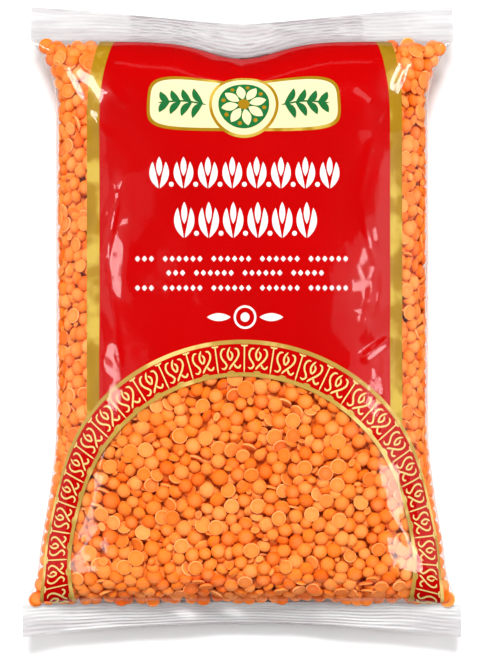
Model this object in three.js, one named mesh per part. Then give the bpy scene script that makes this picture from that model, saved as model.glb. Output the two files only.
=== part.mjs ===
// A bag of split red lentils: a tube of clear film, crimped shut at both ends, filled tight
// and lying on its back with the printed face up.
//
// Millimetres. X runs across the bag, +Y towards its top seal and +Z out of the printed face.
// The origin is under the middle of the bag, on the flat that it rests on.
//
// A place on the film is given by two numbers. "across" runs from -1 at the left side to 1 at the
// right side, in equal steps of film. "along" is the height up the bag, before the fill pulls the
// middle of each seal inwards.

import * as THREE from "three";

// Driving dimensions
const FILM_HALF_WIDTH = 71; // half the width of the empty tube, laid flat
const BOTTOM_EDGE = -102.1; // cut edge under the bottom seal
const BOTTOM_SEAL = -91.8; // inner edge of the bottom seal
const TOP_SEAL = 91; // inner edge of the top seal
const TOP_EDGE = 102.1; // cut edge over the top seal
const SIDE_LEVEL = 17; // height of the side line over the table, halfway up the bag
const SEAL_LEVEL = 12.5; // height of the seals over the table
const SEAL_THICKNESS = 1.0; // both films and the crimp between them
const CRIMP_HEIGHT = 0.35; // how far each crimp ridge stands up
const BACK_PRESS = 1.1; // how far the table has flattened the rounded back
const LENTIL_BUMP = 0.5; // how far a lentil pushes the clear film out

// How the fill pulls the seals inwards, in the middle of the bag
const TOP_EDGE_SAG = 5.8; // the cut edge over the top seal
const TOP_PUCKER = 5.6; // the top seal's inner edge, over a short width only
const PUCKER_WIDTH = 0.28; // that width, across
const BOTTOM_EDGE_RISE = 4.4; // the cut edge under the bottom seal
const BOTTOM_SEAL_RISE = 1.3; // the bottom seal's inner edge
const PULL_REACH = 15; // how far into the body the pull is felt
const WAVE_REACH = 5; // and how far the waves of the seals are
const TOP_DROOP = 1.6; // how far the cut edge of the top seal hangs down
const BOTTOM_DROOP = 1; // the same at the corners of the bottom seal
const BOTTOM_DROOP_MIDDLE = 4.6; // and in its middle

// Shape of the filled film
const TURN_POWER = 4; // how late across the width the film turns down to the side
const FULL_TURN = Math.PI / 2; // slope of the film at the side, where the bag is full
const SLACK_TURN = 1.1; // the same near the bottom, where the bag is less full
const SLACK_FROM = -32; // along, where the slack begins
const SLACK_RUN = 45; // and the length over which it grows
const TOP_SHOULDER = 22; // length over which the fill tapers to the top seal
const BOTTOM_SHOULDER = 13;
const BACK_SHOULDER = 24; // the same on the back, to both seals
const TAKEN_UP = 2.7; // film width, each side, that the small creases of the full bag take up
const TAKEN_UP_FROM = -91; // along, where the creases begin
const TAKEN_UP_RUN = 36;
const GATHER = 0.19; // share by which the middle of the top seal is gathered in
const GATHER_RUN = 24.5; // length over which that gathering fades out
const SERIES_TERMS = 10; // terms of the film's section, enough for a thousandth of a millimetre
const SWELL_HEIGHT = 0.45; // height of the long, low swells in the front

// Where the printed film is opaque, so that no lentils show
const PANEL_HALF = 0.745; // across, to the outer edge of the gold stripes
const ARCH_CENTRE = -73.7; // along, the centre of the round window
const WINDOW_RADIUS = 56.3;
const ARCH_RADIUS = 68;
const SIDE_EDGE = 0.97; // across, where the last bumps are
const SEAL_MARGIN = 3; // bare film between the bumps and each seal

// Grid of the faceted solid. All even, because the back has every second line of the front.
const COLUMNS = 52;
const SEAL_ROWS = 10;
const BODY_ROWS = 56;
const ROW_CROWDING = 0.62; // 0 spreads the body's rows evenly, 1 crowds them most at the seals

// Waves of the two seals, as height, waves per radian of "across", and start
const TOP_WAVES = [
  [0.9, 9.2, 1.6],
  [0.4, 15, 1],
];
const BOTTOM_WAVES = [
  [0.8, 7.4, 4.2],
  [0.3, 17, 0],
];

// Folds that stand up out of the film, from one place to another, in millimetres of film. Each
// pair is mirrored to the other side, as the two corners of a seal pull the film alike.
const FOLDS = [
  { from: [65, 89], to: [37, 60], height: 1.3, width: 2.6 },
  { from: [62, 90], to: [44, 82], height: 0.8, width: 2.2 },
  { from: [67, -89], to: [48, -68], height: 1.1, width: 2.6 },
  { from: [13, 90], to: [9, 70], height: 1.3, width: 2.8 },
  { from: [27, 90], to: [23, 76], height: 0.9, width: 2.6 },
  { from: [42, 62], to: [40, -20], height: 0.6, width: 4.5 },
];

const clamp = THREE.MathUtils.clamp;
const lerp = THREE.MathUtils.lerp;

/** A smooth step from 0 to 1 as x goes from 0 to 1. */
function ease(x) {
  const u = clamp(x, 0, 1);
  return u * u * (3 - 2 * u);
}

/** A quarter round: 0 at the seal, 1 once the distance d has reached the shoulder's length. */
function shoulder(d, length) {
  const left = 1 - clamp(d / length, 0, 1);
  return Math.sqrt(1 - left * left);
}

/**
 * The film's section. Its slope grows as turn * across^TURN_POWER, so the middle is flat and the
 * sides are round. Returns how far it reaches sideways and how far it drops, as shares of the
 * film's half width, by the series of the integrals of cosine and sine.
 */
function section(across, turn) {
  let reach = 0;
  let drop = 0;
  let term = 1;
  for (let n = 0; n < SERIES_TERMS; n++) {
    const power = n * TURN_POWER + 1;
    const part = (term * Math.pow(across, power)) / power;
    const sign = n % 4 < 2 ? 1 : -1;
    if (n % 2 === 0) reach += sign * part;
    else drop += sign * part;
    term *= turn / (n + 1);
  }
  return { reach, drop };
}

/** The film's slope at the side line, for a place along the bag. */
function sideTurn(along) {
  const full = lerp(FULL_TURN, SLACK_TURN, ease((SLACK_FROM - along) / SLACK_RUN));
  const top = shoulder(TOP_SEAL - along, TOP_SHOULDER);
  const bottom = shoulder(along - BOTTOM_SEAL, BOTTOM_SHOULDER);
  return full * top * bottom;
}

/** Where the place lies up the bag, once the fill has pulled the middle of the seals inwards. */
function heightUp(across, along) {
  const u = Math.abs(across);
  const topInner = -TOP_PUCKER * Math.exp(-Math.pow(u / PUCKER_WIDTH, 2));
  const topOuter = -TOP_EDGE_SAG * (1 - Math.pow(u, 1.2));
  const bottomInner = BOTTOM_SEAL_RISE * (1 - Math.pow(u, 4));
  const bottomOuter = BOTTOM_EDGE_RISE * (1 - u * u);
  if (along > TOP_SEAL) {
    return along + lerp(topInner, topOuter, (along - TOP_SEAL) / (TOP_EDGE - TOP_SEAL));
  }
  if (along < BOTTOM_SEAL) {
    const out = (BOTTOM_SEAL - along) / (BOTTOM_SEAL - BOTTOM_EDGE);
    return along + lerp(bottomInner, bottomOuter, out);
  }
  const nearTop = Math.exp(-Math.pow((TOP_SEAL - along) / PULL_REACH, 2));
  const nearBottom = Math.exp(-Math.pow((along - BOTTOM_SEAL) / PULL_REACH, 2));
  return along + topInner * nearTop + bottomInner * nearBottom;
}

/** The sum of some waves at a place across the bag. */
function waves(list, across) {
  return list.reduce((sum, [height, rate, start]) => sum + height * Math.sin(across * rate + start), 0);
}

/** How far the seals wave up and down, and droop towards their cut edges. */
function sealWave(across, along) {
  const top = clamp((along - TOP_SEAL) / (TOP_EDGE - TOP_SEAL), 0, 1);
  const bottom = clamp((BOTTOM_SEAL - along) / (BOTTOM_SEAL - BOTTOM_EDGE), 0, 1);
  const nearTop = along > 0 ? Math.exp(-Math.max(0, TOP_SEAL - along) / WAVE_REACH) : 0;
  const nearBottom = along < 0 ? Math.exp(-Math.max(0, along - BOTTOM_SEAL) / WAVE_REACH) : 0;
  const topWave = waves(TOP_WAVES, across) * nearTop * lerp(0.4, 1, top);
  const bottomWave = waves(BOTTOM_WAVES, across) * nearBottom * lerp(0.4, 1, bottom);
  const bottomDroop = lerp(BOTTOM_DROOP_MIDDLE, BOTTOM_DROOP, across * across);
  return topWave + bottomWave - TOP_DROOP * top - bottomDroop * bottom;
}

/** How far the folds lift the film at a place: a rounded crest that fades at both its ends. */
function foldLift(across, along) {
  const x = Math.abs(across) * FILM_HALF_WIDTH;
  let lift = 0;
  for (const { from, to, height, width } of FOLDS) {
    const run = Math.hypot(to[0] - from[0], to[1] - from[1]);
    const ux = (to[0] - from[0]) / run;
    const uy = (to[1] - from[1]) / run;
    const onward = (x - from[0]) * ux + (along - from[1]) * uy;
    const aside = (x - from[0]) * uy - (along - from[1]) * ux;
    const share = clamp(onward / run, 0, 1);
    const fade = Math.sqrt(Math.sin(Math.PI * clamp(share * 0.94 + 0.03, 0, 1)));
    const beyond = Math.max(0, -onward, onward - run);
    const away = Math.hypot(aside, beyond);
    lift += height * fade * Math.exp(-Math.pow(away / width, 2));
  }
  return lift;
}

/** Long, low swells of the packed lentils under the film. */
function swell(across, along) {
  const full = Math.min(1, sideTurn(along) / SLACK_TURN) * (1 - Math.pow(across, 4));
  const a = Math.sin(across * 5.1 + along * 0.045);
  const b = Math.sin(along * 0.083 - across * 3.3 + 1.7);
  return SWELL_HEIGHT * full * (a + b);
}

/** The point of the film on one face of the bag, "front" or "back". */
function filmPoint(across, along, face) {
  const turn = sideTurn(along);
  const halfWidth = FILM_HALF_WIDTH - TAKEN_UP * ease((along - TAKEN_UP_FROM) / TAKEN_UP_RUN);
  const here = section(across, turn);
  const side = section(1, turn);
  const gathered = GATHER * Math.pow(clamp((along - (TOP_SEAL - GATHER_RUN)) / GATHER_RUN, 0, 1), 2);
  const x = halfWidth * here.reach * (1 - gathered * (1 - across * across));
  const y = heightUp(across, along);
  const middle = 1 - Math.pow(clamp(Math.abs(along) / TOP_SEAL, 0, 1), 4);
  const level = lerp(SEAL_LEVEL, SIDE_LEVEL, middle) + sealWave(across, along);
  if (face === "front") {
    // The drop is the same on both sides of the middle, as the film is symmetric.
    const drop = Math.abs(here.drop);
    const rise = halfWidth * (side.drop - drop);
    const shown = along < TOP_SEAL && along > BOTTOM_SEAL ? 1 : 0;
    const z = level + rise + shown * (foldLift(across, along) + swell(across, along));
    return new THREE.Vector3(x, y, z + SEAL_THICKNESS / 2);
  }
  const share = Math.abs(here.reach) / side.reach;
  const round = Math.sqrt(Math.max(0, 1 - Math.pow(share, 4)));
  const top = shoulder(TOP_SEAL - along, BACK_SHOULDER);
  const bottom = shoulder(along - BOTTOM_SEAL, BACK_SHOULDER);
  const z = level - (level + BACK_PRESS) * round * top * bottom;
  return new THREE.Vector3(x, y, Math.max(0, z - SEAL_THICKNESS / 2));
}

/** True where the film is clear over lentils: in the side strips and in the round window. */
function showsLentils(across, along) {
  if (along > TOP_SEAL - SEAL_MARGIN || along < BOTTOM_SEAL + SEAL_MARGIN) return false;
  if (Math.abs(across) > SIDE_EDGE) return false;
  const radius = Math.hypot(across * FILM_HALF_WIDTH, along - ARCH_CENTRE);
  if (radius < WINDOW_RADIUS) return true;
  return Math.abs(across) > PANEL_HALF && radius > ARCH_RADIUS;
}

/** The places along the bag that have a row of the grid, closer together towards the seals. */
function rowPlaces() {
  const places = [];
  for (let j = 0; j < SEAL_ROWS; j++) places.push(lerp(BOTTOM_EDGE, BOTTOM_SEAL, j / SEAL_ROWS));
  for (let j = 0; j <= BODY_ROWS; j++) {
    const u = j / BODY_ROWS;
    const spread = u - (ROW_CROWDING * Math.sin(2 * Math.PI * u)) / (2 * Math.PI);
    places.push(lerp(BOTTOM_SEAL, TOP_SEAL, spread));
  }
  for (let j = 1; j <= SEAL_ROWS; j++) places.push(lerp(TOP_SEAL, TOP_EDGE, j / SEAL_ROWS));
  return places;
}

/** A random number from 0 to 1 that is the same for the same two whole numbers. */
function steadyRandom(i, j) {
  const s = Math.sin(i * 127.1 + j * 311.7) * 43758.5453;
  return s - Math.floor(s);
}

/** The front's vertex in column i and row j, with its crimp ridge or its lentil bump. */
function frontVertex(i, j, places) {
  const across = (2 * i) / COLUMNS - 1;
  const along = places[j];
  const point = filmPoint(across, along, "front");
  const rows = places.length - 1;
  const inSeal = j < SEAL_ROWS || j > rows - SEAL_ROWS;
  if (inSeal && j % 2 === 1) point.z += CRIMP_HEIGHT;
  if (showsLentils(across, along)) {
    const out = (i + j) % 2 === 0 ? 0.6 + 0.6 * steadyRandom(i, j) : -0.2;
    point.z += LENTIL_BUMP * out;
  }
  return point;
}

/**
 * The bag as one closed surface: a fine grid for the front, a grid half as fine for the back, and
 * a narrow wall that joins them all round, along the side lines and the cut edges.
 */
function bagGeometry() {
  const places = rowPlaces();
  const rows = places.length - 1;
  const positions = [];
  const index = [];
  const known = new Map();

  const vertex = (face, i, j) => {
    const key = `${face} ${i} ${j}`;
    if (!known.has(key)) {
      const across = (2 * i) / COLUMNS - 1;
      const point = face === "front" ? frontVertex(i, j, places) : filmPoint(across, places[j], "back");
      known.set(key, positions.length / 3);
      positions.push(point.x, point.y, point.z);
    }
    return known.get(key);
  };

  for (let j = 0; j < rows; j++) {
    for (let i = 0; i < COLUMNS; i++) {
      const a = vertex("front", i, j);
      const b = vertex("front", i + 1, j);
      const c = vertex("front", i + 1, j + 1);
      const d = vertex("front", i, j + 1);
      // The diagonal turns from cell to cell, so that bumps come out round.
      if ((i + j) % 2 === 0) index.push(a, b, c, a, c, d);
      else index.push(a, b, d, b, c, d);
    }
  }

  for (let j = 0; j < rows; j += 2) {
    for (let i = 0; i < COLUMNS; i += 2) {
      // A cell on the rim also takes the vertex halfway along its outer edge, and fans out from it.
      const ring = [
        [i, j, false],
        [i + 1, j, j === 0],
        [i + 2, j, false],
        [i + 2, j + 1, i + 2 === COLUMNS],
        [i + 2, j + 2, false],
        [i + 1, j + 2, j + 2 === rows],
        [i, j + 2, false],
        [i, j + 1, i === 0],
      ].filter((corner, k) => k % 2 === 0 || corner[2]);
      const start = Math.max(0, ring.findIndex((corner) => corner[2]));
      const fan = ring.map((_, k) => {
        const corner = ring[(start + k) % ring.length];
        return vertex("back", corner[0], corner[1]);
      });
      for (let k = 1; k < fan.length - 1; k++) index.push(fan[0], fan[k + 1], fan[k]);
    }
  }

  const rim = [];
  for (let i = 0; i < COLUMNS; i++) rim.push([i, 0]);
  for (let j = 0; j < rows; j++) rim.push([COLUMNS, j]);
  for (let i = COLUMNS; i > 0; i--) rim.push([i, rows]);
  for (let j = rows; j > 0; j--) rim.push([0, j]);
  rim.forEach(([i, j], k) => {
    const [p, q] = rim[(k + 1) % rim.length];
    const low = vertex("back", i, j);
    const lowNext = vertex("back", p, q);
    const high = vertex("front", i, j);
    const highNext = vertex("front", p, q);
    index.push(low, lowNext, highNext, low, highNext, high);
  });

  const geometry = new THREE.BufferGeometry();
  geometry.setAttribute("position", new THREE.Float32BufferAttribute(positions, 3));
  geometry.setIndex(index);
  geometry.computeVertexNormals();
  return geometry;
}

const filledBag = new THREE.MeshStandardMaterial({ color: "#ee8440", roughness: 0.3, metalness: 0 });

const bag = new THREE.Mesh(bagGeometry(), filledBag);
bag.name = "bag";

const bagOfLentils = new THREE.Group();
bagOfLentils.add(bag);

export default bagOfLentils;
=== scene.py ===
"""A clear pillow bag of split red lentils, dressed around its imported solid.

The bag lies on its back with the printed face up. Its film is a law of two numbers: "across", which
runs from -1 to 1 over the width in equal steps of film, and "along", the height up the bag. Everything
else follows that law: the print lies just under the film, and the lentils are packed against it.

The laws are in millimetres. Meshes are in metres, as the frame is.
"""

import logging
import math
from dataclasses import dataclass, field, fields
from enum import Enum
from typing import Sequence

import bpy
import numpy as np
from mathutils import Euler, Matrix, Vector


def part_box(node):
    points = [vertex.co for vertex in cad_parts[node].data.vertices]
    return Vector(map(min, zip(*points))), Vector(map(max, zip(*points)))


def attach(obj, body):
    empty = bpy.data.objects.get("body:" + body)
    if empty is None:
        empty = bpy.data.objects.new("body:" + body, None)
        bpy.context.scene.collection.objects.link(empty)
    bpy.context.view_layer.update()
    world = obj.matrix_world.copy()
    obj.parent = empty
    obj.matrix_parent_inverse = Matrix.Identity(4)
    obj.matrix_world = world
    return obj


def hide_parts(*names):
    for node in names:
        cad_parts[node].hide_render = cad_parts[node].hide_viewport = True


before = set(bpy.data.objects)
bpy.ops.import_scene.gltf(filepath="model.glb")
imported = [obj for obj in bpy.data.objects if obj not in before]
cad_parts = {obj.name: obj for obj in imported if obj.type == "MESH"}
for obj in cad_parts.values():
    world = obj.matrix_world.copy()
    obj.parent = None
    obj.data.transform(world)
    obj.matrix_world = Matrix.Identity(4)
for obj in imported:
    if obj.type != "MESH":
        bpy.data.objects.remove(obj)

Array = np.ndarray
Pair = tuple[float, float]
Triple = tuple[float, float, float]
Colour = Triple
Socket = bpy.types.NodeSocket

MM = 0.001
BODY = "root"
CAD_NODE = "bag"
IMAGE_WIDTH = 480
IMAGE_HEIGHT = 667
SEED = 20

log = logging.getLogger("bag_of_lentils")


class Slot(Enum):
    """The material slots."""

    LENTILS = "lentils"
    FILM = "film"
    SEAL = "seal_film"
    RED = "red_print"
    GOLD = "gold_print"
    CREAM = "cream_print"
    WHITE = "white_print"
    GREEN = "green_print"


class Face(Enum):
    """The two sheets of the bag."""

    FRONT = "front"
    BACK = "back"

    @property
    def other(self) -> "Face":
        """The opposite sheet."""
        return Face.BACK if self is Face.FRONT else Face.FRONT


class LentilKind(Enum):
    """How a lentil meets the film."""

    FLAT_OUT = "lentils_flat_side_out"
    DOME_OUT = "lentils_round_side_out"
    WHOLE = "lentils_whole"
    CHIP = "lentils_broken"


# Small laws

def smooth_step(x: Array) -> Array:
    """A smooth step from 0 to 1 as x goes from 0 to 1: 3 x squared less 2 x cubed."""
    u = np.clip(x, 0, 1)
    return u * u * (3 - 2 * u)


def between(x: Array, limits: Pair, run: float) -> Array:
    """1 between two limits and 0 outside them, by a smooth step of the given length inside each."""
    return smooth_step((x - limits[0]) / run) * smooth_step((limits[1] - x) / run)


def quarter_round(distance: Array, length: float) -> Array:
    """The height of a quarter circle, 0 at distance 0 and 1 from the given length on."""
    left = 1 - np.clip(distance / length, 0, 1)
    return np.sqrt(1 - left * left)


def fold_over(across: Array) -> Array:
    """Across, for places that run past a side line onto the other sheet."""
    return np.where(np.abs(across) > 1, np.sign(across) * 2 - across, across)


def triangle_wave(phase: Array) -> Array:
    """A wave of straight flanks between 0 and 1, one period for each unit of phase."""
    return 2 * np.abs(phase - np.floor(phase + 0.5))


def blend(low: Array, high: Array, share: Array) -> Array:
    """The value at a share of the way from low to high."""
    return low + (high - low) * share


def unit(vectors: Array) -> Array:
    """The same vectors at length one."""
    return vectors / np.maximum(np.linalg.norm(vectors, axis=-1, keepdims=True), 1e-12)


def smooth_path(points: Sequence[Pair], samples: int) -> Array:
    """A smooth curve through some points, as cubics whose slopes follow the neighbouring points.

    Args:
        points: The places that the curve passes, at least two.
        samples: The number of places to return.

    Returns:
        The curve's places, as an array of samples by 2.
    """
    knots = np.asarray(points, float)
    padded = np.vstack([2 * knots[0] - knots[1], knots, 2 * knots[-1] - knots[-2]])
    place = np.linspace(0, len(knots) - 1 - 1e-9, samples)
    first = place.astype(int)
    t = (place - first)[:, None]
    a, b, c, d = (padded[first + k] for k in range(4))
    square, cube = 2 * a - 5 * b + 4 * c - d, 3 * b - a - 3 * c + d
    return 0.5 * (2 * b + (c - a) * t + square * t**2 + cube * t**3)


# Meshes from arrays

@dataclass
class Surface:
    """Points in millimetres with the faces between them, and numbers marked on the points."""

    points: Array
    quads: Array = field(default_factory=lambda: np.zeros((0, 4), int))
    triangles: Array = field(default_factory=lambda: np.zeros((0, 3), int))
    marks: dict[str, Array] = field(default_factory=dict)

    @staticmethod
    def join(parts: Sequence["Surface"]) -> "Surface":
        """Several surfaces as one, with their marks, which all of them carry."""
        starts = np.cumsum([0] + [len(part.points) for part in parts[:-1]])
        return Surface(
            np.concatenate([part.points for part in parts]),
            np.concatenate([part.quads + start for part, start in zip(parts, starts)]),
            np.concatenate([part.triangles + start for part, start in zip(parts, starts)]),
            {name: np.concatenate([part.marks[name] for part in parts]) for name in parts[0].marks},
        )


def grid_quads(rows: int, columns: int, closed: bool = False) -> Array:
    """The faces of a grid of points, row by row. They face along columns cross rows.

    Args:
        rows: The number of rows of points.
        columns: The number of points in a row.
        closed: True where each row runs round and meets its own start.

    Returns:
        Four point numbers for each face.
    """
    i, j = np.meshgrid(np.arange(rows - 1), np.arange(columns if closed else columns - 1), indexing="ij")
    k = (j + 1) % columns
    low, high = i * columns, (i + 1) * columns
    return np.stack([low + j, low + k, high + k, high + j], -1).reshape(-1, 4)


def slab(outer: Array, inner: Array, closed: bool = False) -> Surface:
    """A closed thin sheet between two grids of points of the same size.

    Args:
        outer: Rows by columns by 3 points, on the side where columns cross rows points outwards.
        inner: The same places on the other side.
        closed: True where the rows run round.

    Returns:
        The closed surface, both sides and the rim.
    """
    rows, columns = outer.shape[:2]
    count = rows * columns
    quads = grid_quads(rows, columns, closed)
    number = np.arange(count).reshape(rows, columns)
    if closed:
        rings = [np.append(number[0], number[0, 0]), np.append(number[-1], number[-1, 0])[::-1]]
    else:
        rings = [np.concatenate([number[0, :-1], number[:-1, -1], number[-1, :0:-1], number[::-1, 0]])]
    rims = [np.stack([r[:-1], r[:-1] + count, r[1:] + count, r[1:]], -1) for r in rings]
    points = np.concatenate([outer.reshape(-1, 3), inner.reshape(-1, 3)])
    return Surface(points, np.concatenate([quads, quads[:, ::-1] + count, *rims]))


def make_piece(name: str, surface: Surface, material: bpy.types.Material, slot: Slot,
               sharp_degrees: float = 50) -> bpy.types.Object:
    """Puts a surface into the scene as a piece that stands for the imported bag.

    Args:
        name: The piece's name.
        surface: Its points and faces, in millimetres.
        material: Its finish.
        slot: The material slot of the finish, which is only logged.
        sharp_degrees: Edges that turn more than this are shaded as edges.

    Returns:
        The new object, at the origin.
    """
    mesh = bpy.data.meshes.new(name)
    mesh.vertices.add(len(surface.points))
    mesh.vertices.foreach_set("co", (surface.points * MM).astype(np.float32).ravel())
    corners = np.concatenate([surface.quads.ravel(), surface.triangles.ravel()]).astype(np.int32)
    sizes = np.concatenate([np.full(len(surface.quads), 4), np.full(len(surface.triangles), 3)])
    mesh.loops.add(len(corners))
    mesh.loops.foreach_set("vertex_index", corners)
    mesh.polygons.add(len(sizes))
    mesh.polygons.foreach_set("loop_start", np.concatenate([[0], np.cumsum(sizes)[:-1]]).astype(np.int32))
    mesh.polygons.foreach_set("use_smooth", np.ones(len(sizes), bool))
    mesh.update(calc_edges=True)
    mesh.validate()
    mesh.set_sharp_from_angle(angle=math.radians(sharp_degrees))
    for mark, values in surface.marks.items():
        mesh.attributes.new(mark, "FLOAT", "POINT").data.foreach_set("value", values.astype(np.float32))
    mesh.materials.append(material)
    piece = bpy.data.objects.new(name, mesh)
    bpy.context.scene.collection.objects.link(piece)
    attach(piece, BODY)
    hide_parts(CAD_NODE)
    log.info("%s: %d points, %d faces, slot %s", name, len(surface.points), len(sizes), slot.value)
    return piece


# The film's form

@dataclass(frozen=True)
class Wave:
    """One wave across a seal."""

    height: float
    rate: float
    start: float

    def at(self, across: Array) -> Array:
        """Height times the sine of rate times across, plus start."""
        return self.height * np.sin(across * self.rate + self.start)


@dataclass(frozen=True)
class Crease:
    """A fold that stands up out of the film, from one place to another."""

    start: Pair
    end: Pair
    height: float
    width: float
    top_round: float = 0.08
    foot_round: float = 0.1

    def lift(self, u: Array, v: Array) -> Array:
        """How far the fold lifts the film: a tent with two straight flanks, lower towards its ends.

        Its top and its feet are rounded off by hyperbolas.

        Args:
            u: Places across, in millimetres of film.
            v: Places along.

        Returns:
            The lift at each place.
        """
        run = math.dist(self.start, self.end)
        ux, uy = (self.end[0] - self.start[0]) / run, (self.end[1] - self.start[1]) / run
        onward = ((u - self.start[0]) * ux + (v - self.start[1]) * uy) / run
        aside = (u - self.start[0]) * uy - (v - self.start[1]) * ux
        fade = np.sqrt(np.sin(np.pi * np.clip(onward, 0, 1)))
        left = 1 + self.top_round - np.hypot(aside / self.width, self.top_round)
        tent = 0.5 * (left + np.hypot(left, self.foot_round))
        return self.height * fade * tent


@dataclass(frozen=True)
class Crumple:
    """One set of straight, shallow folds: a triangle wave over the film in one direction."""

    height: float
    length: float
    degrees: float
    bend: float
    bend_length: float = 9.0

    def lift(self, u: Array, v: Array) -> Array:
        """The lift of the folds, whose lines are bent a little by a slow sine."""
        turn = math.radians(self.degrees)
        onward = u * math.cos(turn) + v * math.sin(turn)
        aside = v * math.cos(turn) - u * math.sin(turn)
        bent = onward + self.bend * np.sin(aside / self.bend_length + self.degrees)
        return self.height * triangle_wave(bent / self.length)


@dataclass(frozen=True)
class BagForm:
    """The film of the filled bag as a law of across and along. Lengths in millimetres."""

    film_half: float
    bottom_edge: float
    top_edge: float
    bottom_seal: float = -91.8
    top_seal: float = 91.0
    side_level: float = 17.0
    seal_level: float = 12.5
    half_gap: float = 0.5
    seal_half_gap: float = 0.2
    gap_run: float = 9.0
    back_press: float = 1.1
    turn_power: int = 4
    full_turn: float = math.pi / 2
    slack_turn: float = 1.1
    slack_from: float = -32.0
    slack_run: float = 45.0
    top_shoulder: float = 22.0
    bottom_shoulder: float = 13.0
    back_shoulder: float = 24.0
    taken_up: float = 2.7
    taken_up_from: float = -91.0
    taken_up_run: float = 36.0
    gather: float = 0.19
    gather_run: float = 24.5
    series_terms: int = 10
    swell_height: float = 0.45
    swells: tuple[Triple, ...] = ((5.1, 0.045, 0.0), (-3.3, 0.083, 1.7))
    top_edge_sag: float = 5.8
    top_pucker: float = 5.6
    pucker_width: float = 0.28
    bottom_edge_rise: float = 4.4
    bottom_seal_rise: float = 1.3
    pull_reach: float = 15.0
    wave_reach: float = 5.0
    top_droop: float = 1.6
    bottom_droop: float = 1.0
    bottom_droop_middle: float = 4.6
    wave_at_seal: float = 0.4
    seam_middle: float = 5.0
    seam_half: float = 7.5
    seam_tuck: float = 0.4
    seam_fade: float = 4.0
    top_waves: tuple[Wave, ...] = (Wave(0.9, 9.2, 1.6), Wave(0.4, 15, 1))
    bottom_waves: tuple[Wave, ...] = (Wave(0.8, 7.4, 4.2), Wave(0.3, 17, 0))
    creases: tuple[Crease, ...] = ()
    crumples: tuple[Crumple, ...] = ()
    crumple_least: float = 0.25
    crumple_line: float = 44.0
    crumple_line_width: float = 8.0
    crumple_at_ends: float = 0.5
    crumple_end_width: float = 16.0
    fold_fade: Pair = (0.04, 3.0)

    @staticmethod
    def around(low: Vector, high: Vector, creases: tuple[Crease, ...],
               crumples: tuple[Crumple, ...]) -> "BagForm":
        """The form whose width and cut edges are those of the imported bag.

        Args:
            low: The bag's lowest corner, in metres.
            high: Its highest corner.
            creases: The folds in the printed face.
            crumples: The shallow folds all over it.

        Returns:
            The form.
        """
        half = (high[0] - low[0]) / 2 / MM
        return BagForm(half, low[1] / MM, high[1] / MM, creases=creases, crumples=crumples)

    def section(self, across: Array, turn: Array) -> tuple[Array, Array]:
        """The film's section, whose slope is turn times across to the turn_power.

        The integrals of cosine and sine are summed as series.

        Args:
            across: Places across the film.
            turn: The slope at the side line there, in radians.

        Returns:
            How far the film reaches sideways and how far it drops, as shares of its half width.
        """
        reach = np.zeros(np.broadcast(across, turn).shape)
        drop = np.zeros_like(reach)
        term = np.ones_like(reach)
        for n in range(self.series_terms):
            power = n * self.turn_power + 1
            part = (1 if n % 4 < 2 else -1) * term * across**power / power
            if n % 2 == 0:
                reach = reach + part
            else:
                drop = drop + part
            term = term * turn / (n + 1)
        return reach, np.abs(drop)

    def side_turn(self, along: Array) -> Array:
        """The film's slope at the side line, which falls off to both seals by a quarter round."""
        slack = smooth_step((self.slack_from - along) / self.slack_run)
        full = blend(self.full_turn, self.slack_turn, slack)
        top = quarter_round(self.top_seal - along, self.top_shoulder)
        return full * top * quarter_round(along - self.bottom_seal, self.bottom_shoulder)

    def inside(self, along: Array) -> Array:
        """How far a place is from the nearer seal."""
        return np.minimum(self.top_seal - along, along - self.bottom_seal)

    def seal_shares(self, along: Array) -> tuple[Array, Array]:
        """How far a place is into the top seal and into the bottom seal, from 0 to 1."""
        top = np.clip((along - self.top_seal) / (self.top_edge - self.top_seal), 0, 1)
        bottom = np.clip((self.bottom_seal - along) / (self.bottom_seal - self.bottom_edge), 0, 1)
        return top, bottom

    def height_up(self, across: Array, along: Array) -> Array:
        """Where a place lies up the bag, once the fill has pulled the middle of the seals inwards.

        Each seal's inner edge and cut edge dip by a bell or a bow across the bag. Between the two the
        dip goes evenly from one to the other, and into the body it fades as a bell.
        """
        u = np.abs(across)
        top, bottom = self.seal_shares(along)
        top_inner = -self.top_pucker * np.exp(-((u / self.pucker_width) ** 2))
        top_outer = -self.top_edge_sag * (1 - u**1.2)
        bottom_inner = self.bottom_seal_rise * (1 - u**4)
        bottom_outer = self.bottom_edge_rise * (1 - u * u)
        near_top = np.exp(-((np.maximum(0, self.top_seal - along) / self.pull_reach) ** 2))
        near_bottom = np.exp(-((np.maximum(0, along - self.bottom_seal) / self.pull_reach) ** 2))
        top_pull = near_top * blend(top_inner, top_outer, top)
        return along + top_pull + near_bottom * blend(bottom_inner, bottom_outer, bottom)

    def seal_wave(self, across: Array, along: Array) -> Array:
        """How far the seals wave up and down, by sines across them, and droop to their cut edges."""
        top, bottom = self.seal_shares(along)
        near_top = np.exp(-np.maximum(0, self.top_seal - along) / self.wave_reach) * (along > 0)
        near_bottom = np.exp(-np.maximum(0, along - self.bottom_seal) / self.wave_reach) * (along < 0)
        top_wave = sum(wave.at(across) for wave in self.top_waves) * near_top
        bottom_wave = sum(wave.at(across) for wave in self.bottom_waves) * near_bottom
        waves = (top_wave * blend(self.wave_at_seal, 1, top)
                 + bottom_wave * blend(self.wave_at_seal, 1, bottom))
        bottom_droop = blend(self.bottom_droop_middle, self.bottom_droop, across**2)
        return waves - (self.top_droop * top + bottom_droop * bottom)

    def swell(self, across: Array, along: Array) -> Array:
        """Long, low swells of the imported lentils: two sines that run askew over the front."""
        full = np.minimum(1, self.side_turn(along) / self.slack_turn) * (1 - across**4)
        skew = sum(np.sin(across * a + along * b + start) for a, b, start in self.swells)
        return self.swell_height * full * skew

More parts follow.
